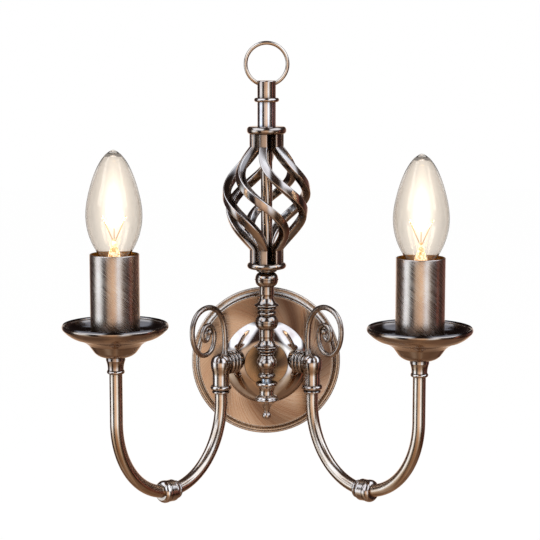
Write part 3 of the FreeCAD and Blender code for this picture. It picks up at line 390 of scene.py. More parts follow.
def sweptSurface(name, path, across, section, scale=None, closeRows=False, capped=False):
    # a section carried along a path: at each point the section's first direction is
    # across, squared to the path, and its second is path x first; a capped end closes in
    # a point that stands a ten-thousandth of a step out
    path, section = np.array(path, float), np.array(section, float)
    across = np.broadcast_to(across, path.shape)
    size = np.ones(len(path)) if scale is None else np.array(scale, float)
    if capped:
        path = np.concatenate([path[:1] + (path[:1] - path[1:2]) * 1e-4, path,
                               path[-1:] + (path[-1:] - path[-2:-1]) * 1e-4])
        across = np.concatenate([across[:1], across, across[-1:]])
        size = np.concatenate([[0], size, [0]])
    if closeRows:
        ahead = unit(np.roll(path, -1, axis=0) - np.roll(path, 1, axis=0))
    else:
        ahead = unit(np.gradient(path, axis=0))
    first = unit(across - ahead * np.sum(across * ahead, axis=1, keepdims=True))
    second = np.cross(ahead, first)
    size = size[:, None, None]
    points = (path[:, None, :] + size * section[None, :, :1] * first[:, None, :]
              + size * section[None, :, 1:] * second[:, None, :])
    edge = np.linalg.norm(np.roll(section, -1, axis=0) - section, axis=1)
    uv = placeGrid(np.concatenate([[0], np.cumsum(edge)[:-1]]), alongLine(path))
    return surface(name, points, closeRows=closeRows, uv=uv)


def smoothLine(points, count):
    # natural cubic spline through the points, measured along their chords
    points = np.array(points, float)
    t = alongLine(points)
    n, h = len(points), np.diff(t)
    system, right = np.eye(n), np.zeros_like(points)
    inner = np.arange(1, n - 1)
    system[inner, inner - 1] = h[:-1]
    system[inner, inner] = 2 * (h[:-1] + h[1:])
    system[inner, inner + 1] = h[1:]
    slope = np.diff(points, axis=0) / h[:, None]
    right[1:-1] = 6 * np.diff(slope, axis=0)
    bend = np.linalg.solve(system, right)
    u = np.linspace(0, t[-1], count)
    k = np.clip(np.searchsorted(t, u, side="right") - 1, 0, n - 2)
    a = ((t[k + 1] - u) / h[k])[:, None]
    b = 1 - a
    curve = ((a ** 3 - a) * bend[k] + (b ** 3 - b) * bend[k + 1]) * (h[k] ** 2 / 6)[:, None]
    return a * points[k] + b * points[k + 1] + curve


def circle(radius, count):
    # radius x (cos, sin) of the angle
    angle = fullTurn(count)
    return np.stack([radius * np.cos(angle), radius * np.sin(angle)], axis=1)


def roundedSquare(side, corner, steps=5):
    # four quarter circles joined by straight sides
    half = side / 2 - corner
    turn = np.linspace(0, np.pi / 2, steps)
    arcs = []
    for k, (x, y) in enumerate([(half, half), (-half, half), (-half, -half), (half, -half)]):
        angle = turn + k * np.pi / 2
        arcs.append(np.stack([x + corner * np.cos(angle), y + corner * np.sin(angle)], axis=1))
    return np.concatenate(arcs)


def stands(obj, material, body, slot, *replaced):
    finishWith(obj, material)
    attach(obj, body)
    if replaced:
        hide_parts(*replaced)


armPlane = {"angle": 45.0, "offset": 30.2, "distance": 23.0, "span": 91.4}
seatLevel = {"left": 18.8, "right": 16.2}
sides = {"left": -1, "right": 1}


def inArmPlane(points, side):
    # local x runs out from the acorn and z up; the plane is turned out of the wall
    points = np.array(points, float)
    angle = math.radians(armPlane["angle"])
    c, s = math.cos(angle), math.sin(angle)
    x = armPlane["offset"] + points[:, 0] * c + points[:, 1] * s
    y = -armPlane["distance"] - points[:, 0] * s + points[:, 1] * c
    return np.stack([sides[side] * x, y, points[:, 2]], axis=1)


def armNormal(side):
    ends = inArmPlane([(0, 0, 0), (0, 1, 0)], side)
    return ends[1] - ends[0]


def lampCentre(side, height=0.0):
    # a point on the lamp's upright line, so many mm above the drip pan's seat
    end = inArmPlane([(armPlane["span"], 0, 0)], side)[0]
    return end + np.array([0, 0, seatLevel[side] + height])


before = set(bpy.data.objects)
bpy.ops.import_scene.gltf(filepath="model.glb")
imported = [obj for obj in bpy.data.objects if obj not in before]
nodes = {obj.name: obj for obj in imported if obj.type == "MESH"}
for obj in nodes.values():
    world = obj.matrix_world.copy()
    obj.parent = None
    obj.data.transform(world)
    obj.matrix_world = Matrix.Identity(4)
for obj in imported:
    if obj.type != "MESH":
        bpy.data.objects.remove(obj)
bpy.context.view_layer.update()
print("frame loaded:", len(nodes), "nodes")

lathe = (18.0, 18.0, 0.35)        # mm of a turning mark: long round the piece, short up it
crossLathe = (6.0, 0.4, 6.0)      # the same on a piece that lies at 45 degrees
turnedBrass = antiqueBrass("antiqueBrassTurned", lathe, patina=0.97, reach=6.0,
                           tones=("deep", "low"))
ferruleBrass = antiqueBrass("antiqueBrassTurnedPale", lathe, patina=0.95, reach=4.0)
# the pans' upward faces are darkened: painted shade
panBrass = antiqueBrass("antiqueBrassSpunPan", lathe, hollow=0.85, tones=("deep", "low"))
crossBrass = antiqueBrass("antiqueBrassTurnedAcross", crossLathe, turn=(0, 0, 45))
bossBrass = antiqueBrass("antiqueBrassTurnedBoss", crossLathe, turn=(0, 0, 45),
                         patina=0.95, reach=4.0, tones=("deep", "low"))
castBrass = antiqueBrass("antiqueBrassCast", (5.0, 5.0, 5.0), contrast=0.08, bump=0.008,
                         roughness=0.27, tones=("deep", "low"))
drawnBrass = antiqueBrass("antiqueBrassDrawn", (0.7, 30.0, 1.0), space="UV", bump=0.006,
                          roughness=0.2, tones=("warm", "worn"))
rodBrass = antiqueBrass("antiqueBrassDrawnRod", (0.5, 0.5, 26.0), contrast=0.14, bump=0.012,
                        roughness=0.17, tones=("antique", "pale"))
sleeveBrass = antiqueBrass("antiqueBrassBrushedSleeve", (0.5, 30.0, 1.0), turn=(0, 0, -50),
                           space="UV", coat=0.1, contrast=0.25, bump=0.05, roughness=0.27)
# the plate's fans and bow are painted sheen; its pale rim is partly wear, partly painted
# highlight
plateBrass = swirledBrass("antiqueBrassBrushedPlate", (0, 0, 0), 190, 1.05, contrast=0.9,
                          bump=0.06, roughness=0.28,
                          stops=[(0.3, "#6e5a4e"), (0.48, "#ccbcae"), (0.66, "#fff8f0")],
                          bowSheen={"turn": -1.1, "share": 0.09},
                          rim={"from": 43.5, "to": 44.8, "wearAndHighlight": 0.6})
# the disc's fans are painted sheen and its dark middle painted shade
discBrass = swirledBrass("antiqueBrassBrushedDisc", (0, 0, 3.0), 150, 0.8, contrast=0.2,
                         bump=0.03, roughness=0.26,
                         stops=[(0.35, "#84766a"), (0.6, "#ccba9e")],
                         middle={"from": 6.0, "to": 15.0, "dark": 0.22})
polishedBrass = antiqueBrass("antiqueBrassPolished", (4.0, 4.0, 4.0), coat=0.5,
                             contrast=0.05, bump=0.004, roughness=0.08)
zincPlate = plainMetal("zincPlatedSteel", "#b9bab7", 0.32, 1.2, 0.01)
cutBrass = plainMetal("machinedBrass", "#c9a352", 0.28, 0.8, 0.01)
boreLamplight = plainMetal("borePaintedLamplight", "#c08a3e", 0.4, 0.7, 0.01)
nickelPlate = plainMetal("nickelPlatedBrass", "#c4bdb0", 0.22, 1.0, 0.006)
leadWire = plainMetal("copperCladLeadWire", "#e8b878", 0.35, 0.6, 0.01)
nylon = mouldedPiece("naturalNylon", "#e6e2d6", 0.45, 0.6, 0.01, 0.15)
ceramic = mouldedPiece("unglazedCeramic", "#e4dfd3", 0.6, 0.4, 0.02)
sheath = mouldedPiece("wireSheath", "#d6d1c4", 0.5, 0.5, 0.01)
glass = blownGlass("clearBlownGlass", [(0.0, "#f2eee8"), (0.6, "#e8e0d8"), (0.85, "#b8aa9c"),
                                       (1.0, "#54483e")], wave=22.0, depth=0.12)
stemGlass = glowingStem("litLeadGlass", [(0.40, "#a86420"), (0.47, "#e8a850"),
                                         (0.53, "#fff0d0"), (0.62, "#ffffff")],
                        mottle=1.6, depth=0.4)
wireGlow = litWire("glowingTungsten", [(0.3, "#ffb455"), (0.6, "#ffe9b8")], 9.0)

for material, names in (
        (turnedBrass, "column_vase vase_ring lower_spindle upper_spindle "
                      "basket_bottom_collar basket_core_rod basket_top_collar"),
        (ferruleBrass, "finial ferrule_collar ring_ferrule acorn_left acorn_right "
                       "lamp_ferrule_left lamp_ferrule_right"),
        (rodBrass, "upper_rod"),
        (panBrass, "drip_pan_left drip_pan_right"),
        (bossBrass, "arm_boss_left arm_boss_right"),
        (crossBrass, "arm_knuckle_left arm_knuckle_right"),
        (plateBrass, "backplate"),
        (discBrass, "dome_cap"),
        (polishedBrass, "dome_cup"),
        (zincPlate, "wall_bar wall_stud bar_nut sleeve_nut finial_stud terminal_screws "
                    "earth_screw column_tie_rod lamp_nipples"),
        (cutBrass, "terminal_inserts pan_nuts holder_contacts"),
        (nylon, "terminal_block"),
        (ceramic, "lampholder_left lampholder_right"),
        (sheath, "arm_wire_left arm_wire_right")):
    for name in names.split():
        finishWith(nodes[name], material)
print("finishes on the packed nodes")

basket = {"bars": 6, "side": 5.3, "corner": 0.75, "endRadius": 8.3, "swell": 18.0,
          "foot": 70.9, "top": 154.4, "straightTop": 9.0, "straightFoot": 9.5,
          "twist": 120.0, "phase": -72.0, "axis": -34.0, "steps": 120, "straightSteps": 5}


def basketBar(index):
    # radius = end radius + swell x sin(pi x share); the angle eases from 0 to the full
    # twist as 3 share^2 - 2 share^3; straight ends run up and down from there
    share = np.linspace(0, 1, basket["steps"])
    turn = basket["twist"] * (3 * share ** 2 - 2 * share ** 3)
    angle = np.radians(basket["phase"] + 360.0 / basket["bars"] * index + turn)
    radius = basket["endRadius"] + basket["swell"] * np.sin(np.pi * share)
    high = basket["top"] - basket["straightTop"]
    low = basket["foot"] + basket["straightFoot"]
    out = np.stack([np.sin(angle), -np.cos(angle), 0 * angle], axis=1)
    path = out * radius[:, None] + np.array([0, basket["axis"], 0])
    path[:, 2] = high - (high - low) * share
    lift = np.linspace(1, 0, basket["straightSteps"], endpoint=False)[:, None]
    upper = path[0] + [0, 0, basket["straightTop"]] * lift
    lower = path[-1] - [0, 0, basket["straightFoot"]] * lift
    path = np.concatenate([upper, path, lower[::-1]])
    out = np.concatenate([np.repeat(out[:1], len(upper), axis=0), out,
                          np.repeat(out[-1:], len(lower), axis=0)])
    bar = sweptSurface("basketBar%d" % (index + 1), path, out,
                       roundedSquare(basket["side"], basket["corner"]), capped=True)
    stands(bar, barBrass, "frame", "antique_brass", "basket_bar_%d" % (index + 1))


# the bar's faces get painted shade and its corners stay bright: partly wear, partly painted
# highlight
barBrass = antiqueBrass("antiqueBrassTwistedBar", (0.6, 22.0, 1.0), space="UV", coat=0.35,
                        contrast=0.16, roughness=0.17, patina=0.85,
                        side={"first": 0.59, "apart": 4.98, "dark": 0.7})
for index in range(basket["bars"]):
    basketBar(index)
print("basket bars")

topRing = {"radius": 13.45, "wire": 1.25, "level": 199.15, "axis": -34.0, "steps": 160,
           "around": 32}


def ringAtTop():
    # a circle in the upright plane, its wire's section carried round it
    angle = fullTurn(topRing["steps"])
    out = np.stack([np.cos(angle), 0 * angle, np.sin(angle)], axis=1)
    path = out * topRing["radius"] + np.array([0, topRing["axis"], topRing["level"]])
    ring = sweptSurface("topRingWire", path, out, circle(topRing["wire"], topRing["around"]),
                        closeRows=True)
    stands(ring, drawnBrass, "frame", "antique_brass", "top_ring")


ringAtTop()

arm = {"tube": 4.1, "wall": 1.0, "top": -12.0, "bend": -23.5, "depth": 52.0,
       "ferruleInset": 5.6, "steps": 150, "legSteps": 9, "around": 48}


def armTube(side):
    # two straight legs joined by half an ellipse: x = half span x (1 - cos t) and
    # z = bend level - depth x sin t; the bore is the same path run back, closed at the ends
    half = armPlane["span"] / 2
    t = np.linspace(0, np.pi, arm["steps"])
    bend = np.stack([half - half * np.cos(t), 0 * t, arm["bend"] - arm["depth"] * np.sin(t)],
                    axis=1)
    leg = np.linspace(0, 1, arm["legSteps"], endpoint=False)[:, None]
    start = np.array([0, 0, arm["top"]])
    finish = np.array([armPlane["span"], 0, seatLevel[side] - arm["ferruleInset"]])
    path = np.concatenate([start + (bend[0] - start) * leg, bend,
                           finish + (bend[-1] - finish) * leg[::-1]])
    route, normal = inArmPlane(path, side), armNormal(side)
    inPlane = np.cross(unit(np.gradient(route, axis=0)), normal)
    turn = fullTurn(arm["around"])
    around = (inPlane[:, None, :] * np.cos(turn)[:, None] + normal * np.sin(turn)[:, None])
    outer = route[:, None, :] + around * arm["tube"]
    bore = route[:, None, :] + around * (arm["tube"] - arm["wall"])
    length = alongLine(route)
    uv = placeGrid(turn * arm["tube"], np.concatenate([length, length[::-1]]))
    tube = surface("armTube" + side.title(), np.concatenate([outer, bore[::-1]]),
                   closeRows=True, uv=uv)
    stands(tube, drawnBrass, "frame", "antique_brass", "arm_tube_" + side)


scroll = {"foot": 3.2, "footLength": 3.0, "flare": 6.5, "stem": 1.95, "tip": 1.5, "ball": 2.2,
          "steps": 260, "ballSteps": 15, "around": 28,
          "line": [(-3.2, 3.0), (-3.4, 7.7), (-3.8, 11.0), (-4.0, 15.4), (-3.9, 20.3),
                   (-3.4, 25.0), (-2.2, 30.2), (0.6, 35.0), (5.0, 38.9), (10.6, 40.6),
                   (16.8, 39.6), (21.7, 36.4), (24.6, 31.8), (25.7, 26.6), (25.4, 21.3),
                   (23.8, 16.3), (20.9, 12.1), (16.6, 9.6), (12.1, 9.9), (8.5, 12.4),
                   (6.6, 16.3), (5.9, 20.6), (6.4, 24.6), (8.0, 27.5), (10.8, 28.9),
                   (13.8, 28.3), (16.0, 26.1), (16.7, 23.0), (16.0, 20.1), (13.9, 18.9),
                   (11.9, 20.2), (11.0, 22.6)]}


def scrollOrnament(side):
    # a round wire along its curl: it flares onto the acorn, thins evenly towards its end and
    # closes in a ball, whose radius at d from its middle is sqrt(ball^2 - d^2)
    line = smoothLine(scroll["line"], scroll["steps"])
    length = alongLine(line)
    flare = np.clip(1 - (length - scroll["footLength"]) / scroll["flare"], 0, 1) ** 2
    size = (scroll["stem"] + (scroll["tip"] - scroll["stem"]) * length / length[-1]
            + (scroll["foot"] - scroll["stem"]) * flare)
    first = math.asin(scroll["tip"] / scroll["ball"])
    turn = np.linspace(first, np.pi, scroll["ballSteps"] + 1)[1:]
    reach = scroll["ball"] * (math.cos(first) - np.cos(turn))
    line = np.concatenate([line, line[-1] + unit(line[-1] - line[-2]) * reach[:, None]])
    size = np.concatenate([size, scroll["ball"] * np.sin(turn)])
    path = inArmPlane(np.stack([line[:, 0], 0 * line[:, 0], line[:, 1]], axis=1), side)
    curl = sweptSurface("scrollWire" + side.title(), path, armNormal(side),
                        circle(1.0, scroll["around"]), scale=size, capped=True)
    stands(curl, castBrass, "frame", "antique_brass", "scroll_" + side)


for makePiece in (armTube, scrollOrnament):
    for side in sides:
        makePiece(side)
print("ring, arms and scrolls")

sleeve = {"radius": 15.4, "wall": 1.0, "top": 64.7, "rows": 11, "lipSteps": 9, "around": 128}


def candleSleeve(side):
    # a straight tube: up the outside, over the rounded lip and down the bore
    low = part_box("candle_sleeve_" + side)[0].z / mm - seatLevel[side]
    outer, inner = sleeve["radius"], sleeve["radius"] - sleeve["wall"]
    lip = np.linspace(0, np.pi, sleeve["lipSteps"])
    middle, reach = (outer + inner) / 2, sleeve["wall"] / 2
    over = np.stack([middle + reach * np.cos(lip),
                     sleeve["top"] - reach + reach * np.sin(lip)], axis=1)
    rise = np.linspace(low, sleeve["top"] - reach, sleeve["rows"], endpoint=False)
    profile = np.concatenate([
        np.stack([outer + 0 * rise, rise], axis=1), over,
        np.stack([inner + 0 * rise, rise[::-1]], axis=1)])
    tube = turnedSurface("candleSleeve" + side.title(), profile, lampCentre(side),
                         segments=sleeve["around"], closeRows=True)
    stands(tube, sleeveBrass, "frame", "antique_brass", "candle_sleeve_" + side)
    # the bore is painted a yellower brass, standing in for the lamp's warm light on it: its
    # faces lie nearer the axis than the wall's middle
    tube.data.materials.append(boreLamplight)
    spots = np.zeros(len(tube.data.polygons) * 3, np.float32)
    tube.data.polygons.foreach_get("center", spots)
    away = spots.reshape(-1, 3) / mm - lampCentre(side)
    inside = np.hypot(away[:, 0], away[:, 1]) < middle - reach * 0.7
    tube.data.polygons.foreach_set("material_index", inside.astype(np.int32))


for side in sides:
    candleSleeve(side)

bulb = {"radius": 17.5, "length": 98.0, "base": 31.1, "neck": 6.6, "capHeight": 23.0,
        "wall": 0.8, "capRadius": 6.65, "threadDepth": 0.9, "threadPitch": 2.8,
        "threadTop": 18.5, "threadFade": 1.5, "button": 2.4, "buttonHeight": 1.6,
        "cone": 3.4, "coneRadius": 5.5, "rows": 70, "capRows": 110, "capAround": 72,
        "outline": [(0.47, 0.30), (0.74, 0.395), (1.0, 0.577), (0.863, 0.747),
                    (0.554, 0.898), (0.115, 0.992)], "widest": 0.577}


def glassLine(shrink, count):
    # radius and height along the blown shape; its mirror image is run on past the tip so
    # that the curve crosses the axis level
    line = [(bulb["neck"] - shrink, bulb["capHeight"])]
    line += [(bulb["radius"] * r - shrink * min(1.0, r * 2),
              bulb["length"] * h - shrink * max(0.0, h - bulb["widest"]) * 2.2)
             for r, h in bulb["outline"]]
    tip = [(0, bulb["length"] - shrink * 2)]
    mirrored = [(-r, h) for r, h in line[::-1]]
    curve = smoothLine(line + tip + mirrored, 2 * count - 1)[:count]
    curve[-1, 0] = 0
    return curve


def bulbGlass(side, centre):
    # the outside's line from the tip down to the cap and the inside's back up, turned
    outer, inner = glassLine(0.0, bulb["rows"]), glassLine(bulb["wall"], bulb["rows"])
    blown = turnedSurface("bulbGlass" + side.title(), np.concatenate([outer[::-1], inner]),
                          centre, sharp=60)
    stands(blown, glass, "bulb_" + side, "bulb_glass", "bulb_glass_" + side)


def bulbCap(side, centre):
    # the thread is a wave round and up the skirt: radius = cap radius - depth x
    # (1 - cos(2 pi (height / pitch - turn)))/2, faded out at both ends
    low, top = bulb["buttonHeight"] + bulb["cone"], bulb["capHeight"]
    z = np.linspace(low, top, bulb["capRows"])
    angle = fullTurn(bulb["capAround"])
    fade = np.clip(np.minimum(z - low, bulb["threadTop"] - z) / bulb["threadFade"], 0, 1)
    wave = (1 - np.cos(2 * np.pi * z[:, None] / bulb["threadPitch"] - angle[None, :])) / 2
    radius = bulb["capRadius"] - bulb["threadDepth"] * wave * fade[:, None]
    foot = np.array([(0, 0), (bulb["button"] - 0.3, 0), (bulb["button"], 0.3),
                     (bulb["button"], bulb["buttonHeight"]), (bulb["coneRadius"], low)])
    radius = np.concatenate([np.repeat(foot[:, :1], len(angle), axis=1), radius,
                             np.zeros((1, len(angle)))])
    z = np.concatenate([foot[:, 1], z, [top]])
    points = np.stack([radius * np.sin(angle), -radius * np.cos(angle),
                       z[:, None] + 0 * radius], axis=2) + centre
    cap = surface("bulbCap" + side.title(), points)
    stands(cap, nickelPlate, "bulb_" + side, "nickel_cap", "bulb_cap_" + side)


filament = {"level": 57.0, "sag": 6.5, "spread": 7.4, "coil": 0.62, "turns": 15,
            "turnSteps": 16, "wire": 0.17, "wireAround": 8, "lead": 0.3, "leadAround": 12,
            "leadSpread": 0.06, "leadFoot": 41.5, "around": 40,
            # the glass stem's radius and height, pinched flat above its flared foot
            "stem": [(4.4, 23.02), (4.1, 29.5), (3.7, 33.5), (2.0, 38.5), (1.1, 42.0),
                     (0.7, 43.0)]}


def bulbInside(side, centre):
    # glass stem, two leads and a support, and a coil of fine wire that hangs between them
    line = smoothLine(filament["stem"], 40)
    line = np.concatenate([[(0, line[0, 1])], line, [(0, line[-1, 1])]])
    stem = turnedSurface("glassStem" + side.title(), line, centre,
                         segments=filament["around"])
    stands(stem, stemGlass, "bulb_" + side, "bulb_glass", "bulb_filament_" + side)
    t = np.linspace(0, 1, filament["turns"] * filament["turnSteps"])
    x = filament["spread"] * (2 * t - 1)
    hang = np.stack([x, 0 * t, filament["level"] - filament["sag"]
                     * (1 - (x / filament["spread"]) ** 2)], axis=1)
    flat = np.array([0, 1, 0])
    for number, end in enumerate((hang[0], hang[len(t) // 2], hang[-1])):
        start = np.array([end[0] * filament["leadSpread"], 0, filament["leadFoot"]])
        lead = sweptSurface("lead%s%d" % (side.title(), number + 1),
                            np.linspace(start, end, 12) + centre, flat,
                            circle(filament["lead"], filament["leadAround"]), capped=True)
        stands(lead, leadWire, "bulb_" + side, "filament_wire")
    # the coil: the hanging line plus a circle turned round it
    ahead = unit(np.gradient(hang, axis=0))
    spin = 2 * np.pi * filament["turns"] * t[:, None]
    coil = hang + centre + filament["coil"] * (np.cos(spin) * flat
                                               + np.sin(spin) * np.cross(ahead, flat))
    size = np.ones(len(coil))
    size[[0, -1]] = 0
    wound = sweptSurface("filamentCoil" + side.title(), coil, ahead,
                         circle(filament["wire"], filament["wireAround"]), scale=size)
    stands(wound, wireGlow, "bulb_" + side, "filament_wire")


# a painted glow inside the bulb round the filament, emitted by a volume
paintedGlow = {"strength": 170.0, "hot": "#fff8ec", "warm": "#ffdcb0", "middle": 63.0,
           "reach": 17.0, "squash": 0.38, "falloff": 3.0, "low": 30.0, "gap": 0.5,
           "rows": 60, "around": 64}


def paintedGlowVolume(side):
    # a painted glow round the hot wire, filling the bulb's inside: it gives light and holds
    # none back; the light falls off with the distance r from the wire: strength x (1 - r /
    # reach) ^ falloff, where r is shorter along the bulb than across it
    material = bpy.data.materials.new("paintedGlowVolume" + side.title())
    tree = emptyTree(material)
    squash = np.array([1, 1, paintedGlow["squash"]]) / (paintedGlow["reach"] * mm)
    middle = lampCentre(side, bulb["base"] + paintedGlow["middle"]) * mm
    place = addNode(tree, "TexCoord")
    about = addNode(tree, "Mapping", {"Vector": place.outputs["Object"], "Scale": squash,
                                      "Location": -middle * squash})
    away = addNode(tree, "VectorMath", {0: about}, operation="LENGTH")
    near = addNode(tree, "Math", {0: 1.0, 1: away}, operation="SUBTRACT", use_clamp=True)
    fall = addNode(tree, "Math", {0: near, 1: paintedGlow["falloff"]}, operation="POWER")
    strength = addNode(tree, "Math", {0: fall, 1: paintedGlow["strength"]}, operation="MULTIPLY")
    warmth = addNode(tree, "Mix", {"Factor": near, "A": paintedGlow["warm"], "B": paintedGlow["hot"]},
                     data_type="RGBA")
    glow = addNode(tree, "Emission", {"Color": warmth, "Strength": strength})
    addNode(tree, "OutputMaterial", {"Volume": glow})
    return material


def bulbGlow(side, centre):
    # the painted glow fills the bulb inside its glass, from above the stem's foot to the tip
    line = glassLine(bulb["wall"] + paintedGlow["gap"], paintedGlow["rows"])
    line = line[(line[:, 1] > paintedGlow["low"]) & (line[:, 0] > 0.2)]
    line = np.concatenate([[(0, line[0, 1])], line, [(0, line[-1, 1] + 0.2)]])
    glowShell = turnedSurface("paintedGlow" + side.title(), line, centre, segments=paintedGlow["around"])
    stands(glowShell, paintedGlowVolume(side), "bulb_" + side, "bulb_glass")


for side in sides:
    for makePiece in (bulbGlass, bulbCap, bulbInside, bulbGlow):
        makePiece(side, lampCentre(side, bulb["base"]))
print("sleeves and bulbs")

studio = {
    "white": 1.0, "fill": 0.55, "gain": 3.6,
    # what metal sees round the horizon, from behind the viewer's left to the right:
    # pale walls with dark gaps, a warm one before the light and a dim one at the camera
    "horizon": [(0.0, "#988c84"), (0.065, "#988c84"), (0.085, "#2c2426"),
                (0.19, "#201c1f"), (0.225, "#201c1f"), (0.24, "#a8b8c8"),
                (0.275, "#c0daff"), (0.325, "#b0c6de"), (0.352, "#141217"), (0.405, "#141217"),
                (0.418, "#928c88"), (0.462, "#8a827e"), (0.478, "#a89c92"), (0.522, "#a89c92"),
                (0.532, "#98a0a8"), (0.555, "#c0daff"), (0.595, "#a0a8b0"), (0.612, "#3a3432"),
                (0.66, "#342e2c"), (0.685, "#18161b"), (0.715, "#18161b"), (0.72, "#7a5450"),
                (0.735, "#6c4a46"), (0.742, "#1c181a"), (0.80, "#201a1c"), (0.86, "#4e3836"),
                (0.915, "#3e2e2e"), (0.935, "#988c84"), (1.0, "#988c84")],
    "overhead": "#221c1c",
    "window": "#c0daff",
    "earth": "#b8a48e",       # tints the walls' foot
    "ground": "#54463c",
    "round": "#8c857e",       # the room as clear glass mirrors it
    "beside": "#5e5248",      # and as its rim bends it into view
    "windowLean": 75.0,       # degrees that a window widens for each unit of height
    # each mask by what it follows: from, to, its value before and after, how it eases;
    # height is the look's z, aside its degrees off the middle, back its y away from the eye
    "masks": {"inner": ("aside", 18.0, 26.0, 0.0, 1.0, "LINEAR"),
              "outer": ("leaning", 56.0, 68.0, 1.0, 0.0, "LINEAR"),
              "foot": ("height", 0.12, 0.24, 0.0, 1.0, "LINEAR"),
              "head": ("height", 0.86, 0.95, 1.0, 0.0, "LINEAR"),
              "above": ("height", 0.02, 0.22, 0.0, 1.0, "SMOOTHSTEP"),
              "below": ("height", -0.75, -0.45, 0.72, 0.0, "SMOOTHSTEP"),
              "sinking": ("height", -0.45, -0.22, 1.0, 0.0, "SMOOTHSTEP"),
              "behind": ("back", 0.5, 0.8, 0.75, 1.0, "LINEAR")},
}


def studioWorld():
    # white to the eye and through glass; metal sees the walls, two windows over them,
    # a dark ceiling and a brown ground, and clear glass mirrors a plain pale room
    world = bpy.data.worlds.new("whiteStudio")
    bpy.context.scene.world = world
    tree = emptyTree(world)
    look = addNode(tree, "TexCoord")
    axes = addNode(tree, "SeparateXYZ", {0: look.outputs["Generated"]})
    front = addNode(tree, "Math", {0: axes.outputs[1], 1: -1.0}, operation="MULTIPLY")
    bearing = addNode(tree, "Math", {0: axes.outputs[0], 1: front}, operation="ARCTAN2")
    share = addNode(tree, "MapRange", {"Value": bearing, "From Min": -math.pi,
                                       "From Max": math.pi})
    horizon = setStops(addNode(tree, "ValToRGB", {"Fac": share}), studio["horizon"])

    turned = addNode(tree, "Math", {0: bearing}, operation="DEGREES")
    aside = addNode(tree, "Math", {0: turned}, operation="ABSOLUTE")
    leaning = addNode(tree, "Math", {0: axes.outputs[2], 1: -studio["windowLean"], 2: aside},
                      operation="MULTIPLY_ADD")
    follows = {"height": axes.outputs[2], "back": axes.outputs[1], "aside": aside,
               "leaning": leaning}
    mask = {}
    for name, (source, start, end, before, after, ease) in studio["masks"].items():
        mask[name] = addNode(tree, "MapRange", {"Value": follows[source], "From Min": start,
                                                "From Max": end, "To Min": before,
                                                "To Max": after}, interpolation_type=ease)
    # the two windows stand where all four of their edges' masks do
    window = mask["inner"]
    for edge in ("outer", "foot", "head"):
        window = addNode(tree, "Math", {0: window, 1: mask[edge]}, operation="MULTIPLY")

    room = addNode(tree, "Mix", {"Factor": mask["sinking"], "A": horizon,
                                 "B": studio["earth"]}, data_type="RGBA", blend_type="MULTIPLY")
    for cover, colour in ((mask["above"], "overhead"), (window, "window"),
                          (mask["below"], "ground")):
        room = addNode(tree, "Mix", {"Factor": cover, "A": room, "B": studio[colour]},
                       data_type="RGBA")
    path = addNode(tree, "LightPath")
    eye = addNode(tree, "Math", {0: path.outputs["Is Camera Ray"],
                                 1: path.outputs["Is Transmission Ray"]}, operation="MAXIMUM")
    through = addNode(tree, "Math", {0: mask["behind"], 1: path.outputs["Is Camera Ray"]},
                      operation="MAXIMUM")
    backdrop = addNode(tree, "Mix", {"Factor": through, "A": studio["beside"],
                                     "B": "#ffffff"}, data_type="RGBA")
    fill, walls, mirrored, white = [
        addNode(tree, "Background", {"Color": colour, "Strength": strength})
        for colour, strength in (("#ffffff", studio["fill"]), (room, studio["gain"]),
                                 (studio["round"], 1.0), (backdrop, studio["white"]))]
    shown = fill
    for share, other in ((path.outputs["Is Glossy Ray"], walls),
                         (path.outputs["Is Singular Ray"], mirrored), (eye, white)):
        shown = addNode(tree, "MixShader", {0: share, 1: shown, 2: other})
    addNode(tree, "OutputWorld", {"Surface": shown})


floor = {"half": 6.0, "level": -0.42, "colour": "#f2f2f2", "shine": 1.05, "shown": 0.9}


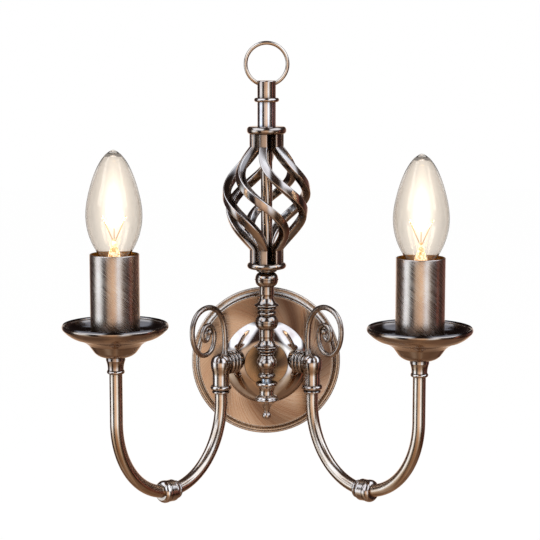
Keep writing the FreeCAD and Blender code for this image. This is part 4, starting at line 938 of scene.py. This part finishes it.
def paleFloor():
    # a wide pale floor in metres; it shows white to the eye and keeps a faint shadow
    mesh = bpy.data.meshes.new("paleFloor")
    half, level = floor["half"], floor["level"]
    mesh.from_pydata([(-half, -half, level), (half, -half, level), (half, half, level),
                      (-half, half, level)], [], [(0, 1, 2, 3)])
    obj = bpy.data.objects.new("paleFloor", mesh)
    bpy.context.collection.objects.link(obj)
    material = bpy.data.materials.new("paleFloorPaint")
    tree = emptyTree(material)
    paint = addNode(tree, "BsdfDiffuse", {"Color": floor["colour"]})
    white = addNode(tree, "Emission", {"Color": "#ffffff", "Strength": floor["shine"]})
    clear = addNode(tree, "BsdfTransparent")
    path = addNode(tree, "LightPath")
    eye = addNode(tree, "Math", {0: path.outputs["Is Camera Ray"],
                                 1: path.outputs["Is Transmission Ray"]}, operation="MAXIMUM")
    share = addNode(tree, "Math", {0: eye, 1: floor["shown"]}, operation="MULTIPLY")
    seen = addNode(tree, "MixShader", {0: share, 1: paint, 2: white})
    mixed = addNode(tree, "MixShader", {0: path.outputs["Is Glossy Ray"], 1: seen, 2: clear})
    addNode(tree, "OutputMaterial", {"Surface": mixed})
    mesh.materials.append(material)


lampTarget = (0, -0.04, 0.06)
lamps = {   # where each stands in metres, its width and height, its watts and its colour
    "leftBox": ((-1.3, -0.75, 0.85), 0.5, 1.1, 7, "#ffffff"),
    "rightBox": ((1.25, -0.9, 0.8), 0.35, 1.0, 5, "#fff6ee"),
    "topBox": ((0.0, -0.5, 1.5), 0.9, 0.5, 5, "#ffffff"),
}


def softbox(name, place, width, height, power, colour):
    data = bpy.data.lights.new(name, "AREA")
    data.shape = "RECTANGLE"
    data.size, data.size_y = width, height
    data.energy = power
    data.color = linearColour(colour)[:3]
    lamp = bpy.data.objects.new(name, data)
    lamp.location = place
    toTarget = Vector(lampTarget) - Vector(place)
    lamp.rotation_euler = toTarget.to_track_quat("-Z", "Y").to_euler()
    lamp.visible_glossy = False       # the world's windows stand for it in reflections
    bpy.context.collection.objects.link(lamp)


studioWorld()
paleFloor()
for name, settings in lamps.items():
    softbox(name, *settings)

photoView = {"focalPixels": 1700, "widthPixels": 540, "sensor": 36,
             "place": (-0.01505, -1.13102, 0.21620), "tilt": 82.2, "turn": -0.9}
camera = bpy.data.cameras.new("photoCamera")
camera.lens = photoView["focalPixels"] / photoView["widthPixels"] * photoView["sensor"]
camera.sensor_width = photoView["sensor"]
view = bpy.data.objects.new("photoCamera", camera)
view.location = photoView["place"]
view.rotation_euler = Euler((math.radians(photoView["tilt"]), 0,
                             math.radians(photoView["turn"])))
bpy.context.collection.objects.link(view)
bpy.context.scene.camera = view
bpy.context.scene.view_settings.view_transform = "Standard"

print("studio and camera ready")
